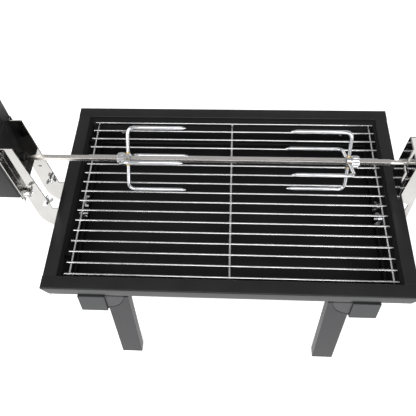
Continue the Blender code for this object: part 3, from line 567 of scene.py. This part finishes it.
def build_fork(name):
    x, points, turn = fork_spec(name)
    body, slot = BODY_OF[f"{name}_fork"], SLOT_OF[f"{name}_fork"]
    centre = Vector((x, 0, AXIS_Z))
    circle, reach, bend_r, wire_r = 54 * MM, 102 * MM, 12 * MM, 3.2 * MM
    mesh = bmesh.new()
    beads = bmesh.new()
    for k in range(4):
        angle = math.radians(turn + 90 * k)
        out = Vector((0, math.cos(angle), math.sin(angle)))
        corner = centre + out * circle
        end = corner + AXES["X"] * points * (reach - 9 * MM)
        path = wire_path([centre + out * 7.5 * MM, corner, end], bend_r)
        sharp = [(0.80, 3.0), (0.62, 5.0), (0.40, 7.2), (0.16, 9.0)]
        start = path[-1]
        for _, step in sharp:
            path.append(start + AXES["X"] * points * step * MM)
        radii = [1.0] * (len(path) - len(sharp)) + [ratio for ratio, _ in sharp]
        tube(path, wire_r, 18, radii, mesh)
        blob(beads, centre + out * 10.4 * MM, (3.9 * MM, 3.9 * MM, 3.9 * MM))
    prongs = as_object(f"{name}_fork_prongs", mesh, sharp=50)
    dress(prongs, body, "fork", slot, f"{name}_fork")
    welds = as_object(f"{name}_fork_welds", beads)
    dress(welds, body, "brass", slot)
    hole = SPIT_SIDE / 2 * 1.46
    section = [(-4, hole / MM), (4, hole / MM), (4, 8.9), (3.2, 9.8), (-3.2, 9.8), (-4, 8.9)]
    mesh = ring_shape([(a * MM, r * MM) for a, r in section], centre, AXES["X"])
    dress(as_object(f"{name}_fork_ring", mesh), body, "fork", slot)
    build_collar(name, body, slot)
    build_thumbscrew(name)


def build_collar(name, body, slot):
    """Clamp collar: a knurled band between two chamfered shoulders, with a square hole."""
    low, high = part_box(f"{name}_fork_collar")
    length = high[0] - low[0]
    steps = 60
    mesh = bmesh.new()
    rings = []
    outer = [(0, 8.8), (0.9, 10.0), (2.6, 10.0), (2.9, 10.4)]
    outer += [(length / MM - a, r) for a, r in reversed(outer)]
    for along, radius in outer:
        ring = []
        knurl = radius > 10.2
        for i in range(steps):
            angle = 2 * math.pi * i / steps
            reach = (radius + (0.55 if knurl and i % 2 else 0.0)) * MM
            y, z = reach * math.cos(angle), AXIS_Z + reach * math.sin(angle)
            ring.append(mesh.verts.new((low[0] + along * MM, y, z)))
        rings.append(ring)
    bridge(mesh, rings)
    half = SPIT_SIDE / 2 + 0.2 * MM
    holes = []
    for end in (0, -1):
        x = low[0] if end == 0 else high[0]
        hole = []
        for i in range(steps):
            angle = 2 * math.pi * i / steps
            stretch = half / max(abs(math.cos(angle)), abs(math.sin(angle)))
            hole.append(mesh.verts.new((x, stretch * math.cos(angle), AXIS_Z + stretch * math.sin(angle))))
        holes.append(hole)
        bridge(mesh, [rings[end], hole])
    bridge(mesh, holes)
    collar = as_object(f"{name}_collar_shape", mesh, sharp=30)
    dress(collar, body, "fork", slot, f"{name}_fork_collar")


def build_thumbscrew(name):
    node_name = f"{name}_thumbscrew"
    low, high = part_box(f"{name}_fork_collar")
    middle = Vector(((low[0] + high[0]) / 2, 0, AXIS_Z))
    angle = math.radians(-75)
    radial = Vector((0, math.cos(angle), math.sin(angle)))
    mesh = bmesh.new()
    thread = [(6 * MM, 1.8 * MM)]
    along = 6.4
    while along < 12:
        thread += [(along * MM, 2.5 * MM), ((along + 0.4) * MM, 2.1 * MM)]
        along += 0.8
    turned(thread, middle, radial, 20, mesh)
    place = Matrix.Translation(middle) @ frame_along(radial)
    head = [(12.0, 3.0), (12.2, 4.6), (12.9, 5.3), (18.0, 5.3), (18.8, 4.6), (19.0, 2.4), (18.4, 1.8)]
    rings = []
    for along, radius in head:
        knurl = 0.35 if radius > 5 else 0
        rings.append(ring_of(mesh, place, along * MM, lambda i, _: (radius - knurl * (i % 2)) * MM, 36))
    bridge(mesh, rings)
    cap(mesh, rings)
    screw = as_object(f"{node_name}_shape", mesh, sharp=30)
    dress(screw, BODY_OF[node_name], "zinc", SLOT_OF[node_name], node_name)


def build_spit_end():
    low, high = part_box("stop_collar")
    width = high[0] - low[0]
    section = [(0, 4.1), (width / MM, 4.1), (width / MM, 7.6), (width / MM - 0.9, 8.5), (0.9, 8.5), (0, 7.6)]
    mesh = ring_shape([(a * MM, r * MM) for a, r in section], (low[0], 0, AXIS_Z), AXES["X"])
    stand_for("stop_collar", as_object("stop_collar_shape", mesh), "zinc")
    low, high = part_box("handle_ferrule")
    width = (high[0] - low[0]) / MM
    section = [(0, 4.1), (width, 4.1), (width, 10.6), (width - 2, 11), (width - 4, 10.4),
               (4, 10.4), (2, 11), (0.8, 10.2), (0, 8.6)]
    mesh = ring_shape([(a * MM, r * MM) for a, r in section], (low[0], 0, AXIS_Z), AXES["X"])
    stand_for("handle_ferrule", as_object("ferrule_shape", mesh), "sheet")
    low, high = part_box("spit_handle")
    length = (high[0] - low[0]) / MM
    shape = ((0.0, 9.6), (0.01, 10.5), (0.05, 12.0), (0.16, 13.0), (0.3, 13.5), (0.42, 13.1),
             (0.55, 12.2), (0.7, 12.9), (0.85, 14.4), (0.93, 14.2), (0.97, 12.8), (0.99, 10.5), (1.0, 7.0))
    profile = []
    for i in range(81):
        t = i / 80
        radius = smooth_radius(shape, t)
        if 0.12 < t < 0.8 and i % 8 == 0:
            radius -= 0.6
        profile.append((t * length * MM, radius * MM))
    mesh = turned(profile, (low[0], 0, AXIS_Z), AXES["X"], 56)
    stand_for("spit_handle", as_object("handle_grip", mesh, sharp=60), "plastic")


def smooth_radius(shape, t):
    for (t0, r0), (t1, r1) in zip(shape, shape[1:]):
        if t <= t1:
            s = (t - t0) / (t1 - t0)
            s = s * s * (3 - 2 * s)
            return r0 + (r1 - r0) * s
    return shape[-1][1]


# ---------------------------------------------------------------- fasteners

BOLT_HEAD = (5.5 * MM, 4 * MM)  # radius across the corners and height
BOLT_R = 2.9 * MM


def hex_bolt(mesh, at, direction, head_r, head_h, length, shank_r):
    """Chamfered hexagon head at at, pointing along direction, with a threaded shank behind it."""
    place = Matrix.Translation(at) @ frame_along(direction)
    flat = head_r * math.cos(math.pi / 6)
    levels = [(0, head_r), (head_h * 0.72, head_r), (head_h * 0.9, head_r * 0.94), (head_h, head_r * 0.80)]
    rings = []
    for along, limit in levels:
        def reach(_, angle):
            return min(limit, flat / math.cos(angle % (math.pi / 3) - math.pi / 6))
        rings.append(ring_of(mesh, place, along, reach, 48))
    bridge(mesh, rings)
    cap(mesh, rings)
    if length:
        add_thread(mesh, at, -Vector(direction), length, shank_r)


def add_thread(mesh, at, direction, length, radius, pitch=1.0 * MM):
    profile = [(-0.5 * MM, radius * 0.86)]
    along = 0.0
    while along < length - pitch:
        profile += [(along + pitch * 0.25, radius), (along + pitch * 0.75, radius * 0.86)]
        along += pitch
    profile += [(length - 0.5 * MM, radius * 0.8), (length, radius * 0.6)]
    turned(profile, at, direction, 24, mesh)


def build_wall_bolts():
    for name, side in (("left", -1), ("right", 1)):
        for label in ("front", "middle"):
            bolt = f"{name}_wall_bolt_{label}"
            low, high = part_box(bolt)
            y, z = (low[1] + high[1]) / 2, (low[2] + high[2]) / 2
            outer = high[0] if side > 0 else low[0]
            mesh = bmesh.new()
            face = outer - side * BOLT_HEAD[1]
            shank = high[0] - low[0] - BOLT_HEAD[1]
            hex_bolt(mesh, Vector((face, y, z)), AXES["X"] * side, *BOLT_HEAD, shank, BOLT_R)
            stand_for(bolt, as_object(f"{bolt}_shape", mesh, sharp=25), "zinc")
            build_wing_nut(name, label, side, y, z)
        build_rivet(f"{name}_wall_rivet", side)
    for label in ("front", "rear"):
        bolt = f"bracket_bolt_{label}"
        low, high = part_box(bolt)
        y, z = (low[1] + high[1]) / 2, (low[2] + high[2]) / 2
        head_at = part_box("motor_plate")[1][0] + 2.6 * MM
        mesh = bmesh.new()
        hex_bolt(mesh, Vector((head_at, y, z)), AXES["X"], *BOLT_HEAD, head_at - low[0], BOLT_R)
        nose_at = head_at + BOLT_HEAD[1]
        add_thread(mesh, Vector((nose_at, y, z)), AXES["X"], high[0] - nose_at, BOLT_R)
        stand_for(bolt, as_object(f"{bolt}_shape", mesh, sharp=25), "zinc")
    for corner in CORNERS:
        build_socket_screw(corner)


def build_rivet(name, side):
    low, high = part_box(name)
    y, z = (low[1] + high[1]) / 2, (low[2] + high[2]) / 2
    mesh = bmesh.new()
    dome = [(0.0, 5.5), (0.8, 5.4), (1.6, 4.4), (2.2, 2.6), (2.45, 0.8)]
    inner, outer = (low[0], high[0]) if side > 0 else (high[0], low[0])
    profile = [(a * MM, r * MM) for a, r in dome]
    turned(profile, (outer - side * 2.5 * MM, y, z), AXES["X"] * side, 32, mesh)
    turned(profile, (inner + side * 2.5 * MM, y, z), AXES["X"] * -side, 32, mesh)
    shank = high[0] - low[0] - 4.4 * MM
    turned([(0, 3 * MM), (shank, 3 * MM)], (low[0] + 2.2 * MM, y, z), AXES["X"], 24, mesh)
    stand_for(name, as_object(f"{name}_shape", mesh), "enamel")


def build_socket_screw(corner):
    name = f"{corner}_socket_screw"
    low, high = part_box(name)
    x, z = (low[0] + high[0]) / 2, (low[2] + high[2]) / 2
    end = -1 if corner.startswith("front") else 1
    inner = high[1] if end < 0 else low[1]
    mesh = bmesh.new()
    dome = [(0.0, 5.0), (0.7, 5.0), (1.8, 4.3), (2.6, 3.0), (3.0, 1.6), (2.2, 1.3)]
    seat = Vector((x, inner + end * 3 * MM, z))
    turned([(a * MM, r * MM) for a, r in dome], seat, AXES["Y"] * -end, 32, mesh)
    add_thread(mesh, seat, AXES["Y"] * end, high[1] - low[1] - 3 * MM, BOLT_R)
    stand_for(name, as_object(f"{name}_shape", mesh, sharp=25), "zinc")


WING_TURNS = {("left", "front"): 78, ("left", "middle"): 20, ("right", "front"): 40, ("right", "middle"): 70}


def wing_nut_mesh(mesh, at, axial, turn):
    """Cast wing nut: a flared hub and two thin ears with round ends."""
    axial = Vector(axial)
    hub = [(0, 6.3), (1.2, 6.4), (4, 5.4), (7, 4.8), (7.8, 4.2), (8.0, 3.1), (7.6, 2.95)]
    turned([(a * MM, r * MM) for a, r in hub], at, axial, 32, mesh)
    level = AXES["Y"] if abs(axial.x) > 0.5 else AXES["X"]
    upright = axial.cross(level) if axial.cross(level).z > 0 else level.cross(axial)
    for flip in (0, 180):
        angle = math.radians(turn + flip)
        radial = level * math.cos(angle) + upright * math.sin(angle)
        outline = [(3.2, 1.0), (6.5, 1.6), (9.3, 3.2), (11.4, 6.0), (12.2, 9.4), (11.8, 12.2), (10.2, 13.4),
                   (8.4, 12.4), (7.0, 9.6), (5.4, 7.6), (3.2, 6.8)]
        ring = [Vector(at) + radial * u * MM + axial * v * MM for u, v in outline]
        prism(ring, radial.cross(axial), -1.3 * MM, 1.3 * MM, mesh)


def build_wing_nut(name, label, side, y, z):
    node_name = f"{name}_wing_nut_{label}"
    mesh = bmesh.new()
    wing_nut_mesh(mesh, (side * (OPEN_X - 0.3 * MM), y, z), AXES["X"] * -side, WING_TURNS[name, label])
    piece = rounded(as_object(f"{node_name}_shape", mesh, sharp=50), 0.8 * MM, 3, 40)
    dress(piece, BODY_OF[node_name], "zinc", SLOT_OF[node_name], node_name)


def build_bracket_nuts():
    """Wing nuts of the left bracket: one on each tab bolt, and one bolt through each side plate."""
    for end, label in ((-1, "front"), (1, "rear")):
        low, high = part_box(f"bracket_bolt_{label}")
        y, z = (low[1] + high[1]) / 2, (low[2] + high[2]) / 2
        mesh = bmesh.new()
        wing_nut_mesh(mesh, (high[0] - 7 * MM, y, z), AXES["X"], 35 * end)
        piece = rounded(as_object(f"bracket_wing_nut_{label}", mesh, sharp=50), 0.8 * MM, 3, 40)
        dress(piece, ROOT, "zinc", SLOT_OF[f"bracket_bolt_{label}"])
        plate_low, plate_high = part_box(f"left_side_plate_{label}")
        plate = plate_low[1] + 14 * MM if end < 0 else plate_high[1] - 14 * MM
        at = Vector((-RIM_X - 29 * MM, plate, RIM_Z - 8 * MM))
        mesh = bmesh.new()
        wing_nut_mesh(mesh, at - AXES["Y"] * end * 1.2 * MM, AXES["Y"] * -end, 25 * end)
        hex_bolt(mesh, at + AXES["Y"] * end * 1.2 * MM, AXES["Y"] * end, 5 * MM, 3.4 * MM, 18 * MM, BOLT_R)
        piece = as_object(f"side_plate_bolt_{label}", mesh, sharp=30)
        dress(piece, ROOT, "zinc", SLOT_OF[f"bracket_bolt_{label}"])


# ---------------------------------------------------------------- legs

LEAN = 0.2  # outward travel of a leg for each metre down
STUB_X = 262 * MM
LEG_WIDTH = 40 * MM


def leaned(mesh, end):
    """Leans a mesh outwards below the lip, keeping its level faces level."""
    for vertex in mesh.verts:
        vertex.co.y += end * LEAN * (RIM_Z - LIP - vertex.co.z)
    return mesh


def build_leg(corner):
    """Bent tube whose knee is a separate cast elbow, set a little below the tube's outer face. The elbow's
    lighter paint is a painted sheen where the bent face catches the light.
    """
    name = f"{corner}_leg"
    side = -1 if corner.endswith("left") else 1
    end = -1 if corner.startswith("front") else 1
    low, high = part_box(name)
    foot_low, foot_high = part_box(f"{corner}_foot")
    depth = foot_high[1] - foot_low[1]
    outer_y = max(abs(low[1]), abs(high[1])) - LEAN * (RIM_Z - LIP - low[2])
    ys = (outer_y - depth, outer_y)
    outer_x = max(abs(foot_low[0]), abs(foot_high[0]))
    inner_x = outer_x - LEG_WIDTH
    top, under, base = high[2], high[2] - LEG_WIDTH, low[2]
    cut = [(outer_x, under)]
    for i in range(13):
        angle = math.radians(90 * i / 12)
        reach = LEG_WIDTH * 0.86
        cut.append((outer_x + 3 * MM - reach * math.sin(angle), top - reach * math.cos(angle)))
    tube_shape = [(inner_x, base), (outer_x, base)] + cut + [(inner_x, top)]
    elbow = [(STUB_X, top)] + cut[:0:-1] + [(outer_x, under), (STUB_X, under)]
    for label, shape, inset in (("shape", tube_shape, 0), ("elbow", elbow, 0.5 * MM)):
        mesh = prism([(side * x, end * (ys[0] + inset), z) for x, z in shape], AXES["Y"] * end,
                     0, depth - 2 * inset)
        leaned(mesh, end)
        piece = rounded(as_object(f"{name}_{label}", mesh), 1.0 * MM, 3, 30)
        if label == "shape":
            dress(piece, BODY_OF[name], "leg", SLOT_OF[name], name)
        else:
            # The knee takes the lighter paint, a painted sheen on the bend.
            dress(piece, BODY_OF[name], "elbow", SLOT_OF[name])
    refined(f"{corner}_foot", "plastic", 0.6 * MM)
    refined(f"{corner}_leg_socket", "sleeve", 1.2 * MM, 4)


# ---------------------------------------------------------------- motor unit

def rounded_case(name, x_face, x_open, cuts):
    """Half of the motor housing: a moulded shell with a crowned end and an open side."""
    low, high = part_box(name)
    y, z0, z1 = high[1], low[2], high[2]
    centre_z = (z0 + z1) / 2
    half_z = (z1 - z0) / 2
    inward = 1 if x_open > x_face else -1
    mesh = bmesh.new()
    rings = []
    for step, inset in ((0.0, 4.0), (0.6, 2.2), (1.8, 0.8), (3.6, 0.0), (abs(x_open - x_face) / MM, 0.0)):
        x = x_face + inward * step * MM
        ring = []
        for corner in range(4):
            for i in range(7):
                angle = math.radians(90 * corner + 15 * i)
                r = 9 * MM - inset * MM * 0.4
                cy = (y - 9 * MM) * (1 if corner in (0, 3) else -1)
                cz = (half_z - 9 * MM) * (1 if corner in (0, 1) else -1)
                shrink = inset * 0.6 * MM
                ring.append(mesh.verts.new((
                    x, cy - math.copysign(shrink, cy) + r * math.cos(angle),
                    centre_z + cz - math.copysign(shrink, cz) + r * math.sin(angle),
                )))
        rings.append(ring)
    bridge(mesh, rings)
    mesh.faces.new(rings[0])
    shell = as_object(f"{name}_shape", mesh)
    sheet_of(shell, 2.4 * MM)
    for i, cutter in enumerate(cuts):
        cut = shell.modifiers.new(f"cut_{i}", "BOOLEAN")
        cut.object = cutter
        cut.operation = "DIFFERENCE"
        cut.solver = "EXACT"
    baked(shell)
    for cutter in cuts:
        bpy.data.objects.remove(cutter, do_unlink=True)
    rounded(shell, 0.35 * MM, 2, 50)
    stand_for(name, shell, "plastic")


def baked(piece):
    """Applies the modifiers of a piece to its mesh."""
    graph = bpy.context.evaluated_depsgraph_get()
    data = bpy.data.meshes.new_from_object(piece.evaluated_get(graph))
    piece.modifiers.clear()
    piece.data = data
    data.shade_smooth()
    data.set_sharp_from_angle(angle=math.radians(35))


def box_cutter(low, high):
    mesh = bmesh.new()
    box_mesh(mesh, low, high)
    return as_object("cutter", mesh, smooth=False)


def build_motor():
    refined("motor_plate", "enamel", 0.5 * MM)
    low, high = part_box("motor_case")
    bore = turned([(-9 * MM, 8.4 * MM), (9 * MM, 8.4 * MM)], (high[0], 0, AXIS_Z), AXES["X"], 40)
    rounded_case("motor_case", high[0], low[0], [as_object("cutter", bore)])
    low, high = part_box("motor_rear_cover")
    door_low, door_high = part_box("battery_door")
    switch_low, switch_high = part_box("power_switch")
    margin = 0.5 * MM
    cuts = [
        box_cutter((low[0] - 0.01, door_low[1] - margin, door_low[2] - margin),
                   (low[0] + 0.006, door_high[1] + margin, door_high[2] + margin)),
        box_cutter((low[0] - 0.01, switch_low[1] - MM, switch_low[2] - MM),
                   (low[0] + 0.006, switch_high[1] + MM, switch_high[2] + MM)),
    ]
    rounded_case("motor_rear_cover", low[0], high[0], cuts)
    build_door(door_low, door_high)
    build_switch(switch_low, switch_high)
    build_case_details()


def build_door(low, high):
    """Battery door with a raised grip of thin ridges near its top edge."""
    mesh = bmesh.new()
    box_mesh(mesh, (low[0] + 0.5 * MM, low[1], low[2]), high)
    door = rounded(as_object("battery_door_shape", mesh), 0.6 * MM, 3)
    dress(door, BODY_OF["battery_door"], "plastic", SLOT_OF["battery_door"], "battery_door")
    mesh = bmesh.new()
    for i in range(6):
        z = high[2] - (8 + 3 * i) * MM
        profile = [(0, 0.3), (1.5, 0.8), (24, 0.8), (25.5, 0.3)]
        ridge = [((a - 12.75) * MM, r * MM) for a, r in profile]
        turned(ridge, (low[0] + 0.9 * MM, 0, z), AXES["Y"], 16, mesh)
    ridges = as_object("battery_door_ridges", mesh)
    dress(ridges, BODY_OF["battery_door"], "plastic", SLOT_OF["battery_door"])


def build_switch(low, high):
    refined("power_switch", "sleeve", 0.7 * MM)
    mesh = bmesh.new()
    y, z = high[1] + 2.4 * MM, (low[2] + high[2]) / 2
    half_z = (high[2] - low[2]) / 2 + 2.4 * MM
    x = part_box("motor_rear_cover")[0][0]
    back, front, band = x + 1.2 * MM, x + 0.3 * MM, 1.6 * MM
    rings = []
    for at_x, inset in ((back, 0), (back, band), (front, band), (front, 0)):
        u, v = y - inset, half_z - inset
        corners = ((-u, z - v), (u, z - v), (u, z + v), (-u, z + v))
        rings.append([mesh.verts.new((at_x, *corner)) for corner in corners])
    bridge(mesh, rings, closed=True)
    bezel = rounded(as_object("power_switch_bezel", mesh), 0.3 * MM, 2)
    dress(bezel, ROOT, "sleeve", SLOT_OF["power_switch"])


def build_case_details():
    """Vent fins on the housing's sides and four case screws in the rear cover."""
    low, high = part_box("motor_rear_cover")
    mesh = bmesh.new()
    for y in (-36, 36):
        for z in (low[2] + 10 * MM, high[2] - 10 * MM):
            dome = [(-0.4, 3.2), (0.1, 3.2), (0.5, 2.6), (0.7, 1.4), (0.2, 1.0)]
            profile = [(a * MM, r * MM) for a, r in dome]
            turned(profile, (low[0] + 0.8 * MM, y * MM, z), AXES["X"] * -1, 24, mesh)
    screws = as_object("case_screws", mesh)
    dress(screws, ROOT, "zinc", "zinc")
    mesh = bmesh.new()
    case_low, case_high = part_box("motor_case")
    for side in (-1, 1):
        for i in range(7):
            z = case_high[2] - (18 + 6 * i) * MM
            profile = [(0, 0.4), (2, 1.0), (26, 1.0), (28, 0.4)]
            start = (case_low[0] + 8 * MM, side * (case_high[1] - 0.3 * MM), z)
            turned([(a * MM, r * MM) for a, r in profile], start, AXES["X"], 12, mesh)
    fins = as_object("case_fins", mesh)
    dress(fins, ROOT, "plastic", SLOT_OF["motor_case"])


def build_hub():
    low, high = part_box("drive_hub")
    length = (high[0] - low[0]) / MM
    profile = [(0, 9.2), (0.8, 10), (6, 10), (6.6, 9.3), (length - 1.2, 9.3), (length, 8.2)]
    mesh = turned([(a * MM, r * MM) for a, r in profile], (low[0], 0, AXIS_Z), AXES["X"], 48)
    hub = as_object("drive_hub_shape", mesh)
    half = 4.5 * MM
    cutter = box_cutter((low[0] + 4.7 * MM, -half, AXIS_Z - half), (high[0] + 4 * MM, half, AXIS_Z + half))
    cut = hub.modifiers.new("socket", "BOOLEAN")
    cut.object = cutter
    cut.operation = "DIFFERENCE"
    baked(hub)
    bpy.data.objects.remove(cutter, do_unlink=True)
    rounded(hub, 0.25 * MM, 2, 50)
    dress(hub, BODY_OF["drive_hub"], "plastic", SLOT_OF["drive_hub"], "drive_hub")


def dress_inner_nodes():
    """The sealed drive train keeps its own shape."""
    finishes = {
        "output_gear": "nylon", "idler_gear": "nylon", "output_shaft": "zinc", "output_bush": "brass",
        "idler_pin": "zinc", "motor_pinion": "brass", "motor_can": "zinc",
        "battery_cell_1": "wrap", "battery_cell_2": "wrap",
    }
    for name, material in finishes.items():
        slots = frame["nodes"][name].material_slots
        if not slots:
            frame["nodes"][name].data.materials.append(MATERIALS[material])
        for one in slots:
            one.material = MATERIALS[material]


# ---------------------------------------------------------------- stage

def softbox(name, at, target, size, power, color=(1, 1, 1)):
    light = bpy.data.lights.new(name, "AREA")
    light.shape = "RECTANGLE"
    light.size, light.size_y = size
    light.energy = power
    light.color = color
    lamp = bpy.data.objects.new(name, light)
    lamp.location = at
    lamp.rotation_euler = (Vector(target) - Vector(at)).to_track_quat("-Z", "Y").to_euler()
    bpy.context.scene.collection.objects.link(lamp)


def build_stage():
    mesh = bmesh.new()
    bmesh.ops.create_grid(mesh, x_segments=2, y_segments=2, size=6)
    floor = as_object("floor", mesh, smooth=False)
    floor.location.z = -0.5 * MM
    pale = bpy.data.materials.new("pale_floor")
    pale.use_nodes = True
    shader = pale.node_tree.nodes["Principled BSDF"]
    shader.inputs["Base Color"].default_value = (0.93, 0.93, 0.93, 1)
    shader.inputs["Roughness"].default_value = 0.9
    shader.inputs["Emission Color"].default_value = (1, 1, 1, 1)
    shader.inputs["Emission Strength"].default_value = 0.55
    floor.data.materials.append(pale)
    world = bpy.data.worlds.new("studio")
    bpy.context.scene.world = world
    world.use_nodes = True
    world.node_tree.nodes["Background"].inputs["Color"].default_value = (1, 1, 1, 1)
    world.node_tree.nodes["Background"].inputs["Strength"].default_value = 0.55
    softbox("key", (-1.6, -1.2, 1.9), (0, 0, 0.3), (1.4, 1.4), 34)
    softbox("fill", (1.3, -1.9, 1.1), (0, 0, 0.3), (1.6, 1.0), 20)
    softbox("top", (0.1, -0.9, 2.5), (0, 0, 0.2), (1.4, 1.0), 18)
    bpy.context.scene.view_settings.view_transform = "Standard"


CAMERA_AT = (0.0026, -0.5102, RIM_Z + 0.7787)
CAMERA_HEADING, CAMERA_DOWN, CAMERA_ROLL = (math.radians(a) for a in (5.12, 58.77, -3.29))


def build_camera():
    camera = bpy.data.objects.new("camera", bpy.data.cameras.new("camera"))
    camera.data.sensor_width = 36
    camera.data.lens = 41.93
    turn = Matrix.Rotation(CAMERA_HEADING, 4, "Z")
    tilt = Matrix.Rotation(math.pi / 2 - CAMERA_DOWN, 4, "X")
    roll = Matrix.Rotation(CAMERA_ROLL, 4, "Z")
    camera.matrix_world = Matrix.Translation(CAMERA_AT) @ turn @ tilt @ roll
    bpy.context.scene.collection.objects.link(camera)
    bpy.context.scene.camera = camera


build_camera()
build_stage()
build_pan()
build_rim()
build_rest_tabs()
build_grate()
build_spit()
for fork in ("left", "right"):
    build_fork(fork)
build_spit_end()
build_wall_bolts()
build_bracket_nuts()
for corner in CORNERS:
    build_leg(corner)
for plate in ("left_wall_plate", "left_side_plate_front", "left_side_plate_rear"):
    refined(plate, "sheet", 0.5 * MM)
refined("right_upright", "sheet", 0.6 * MM)
build_motor()
build_hub()
dress_inner_nodes()
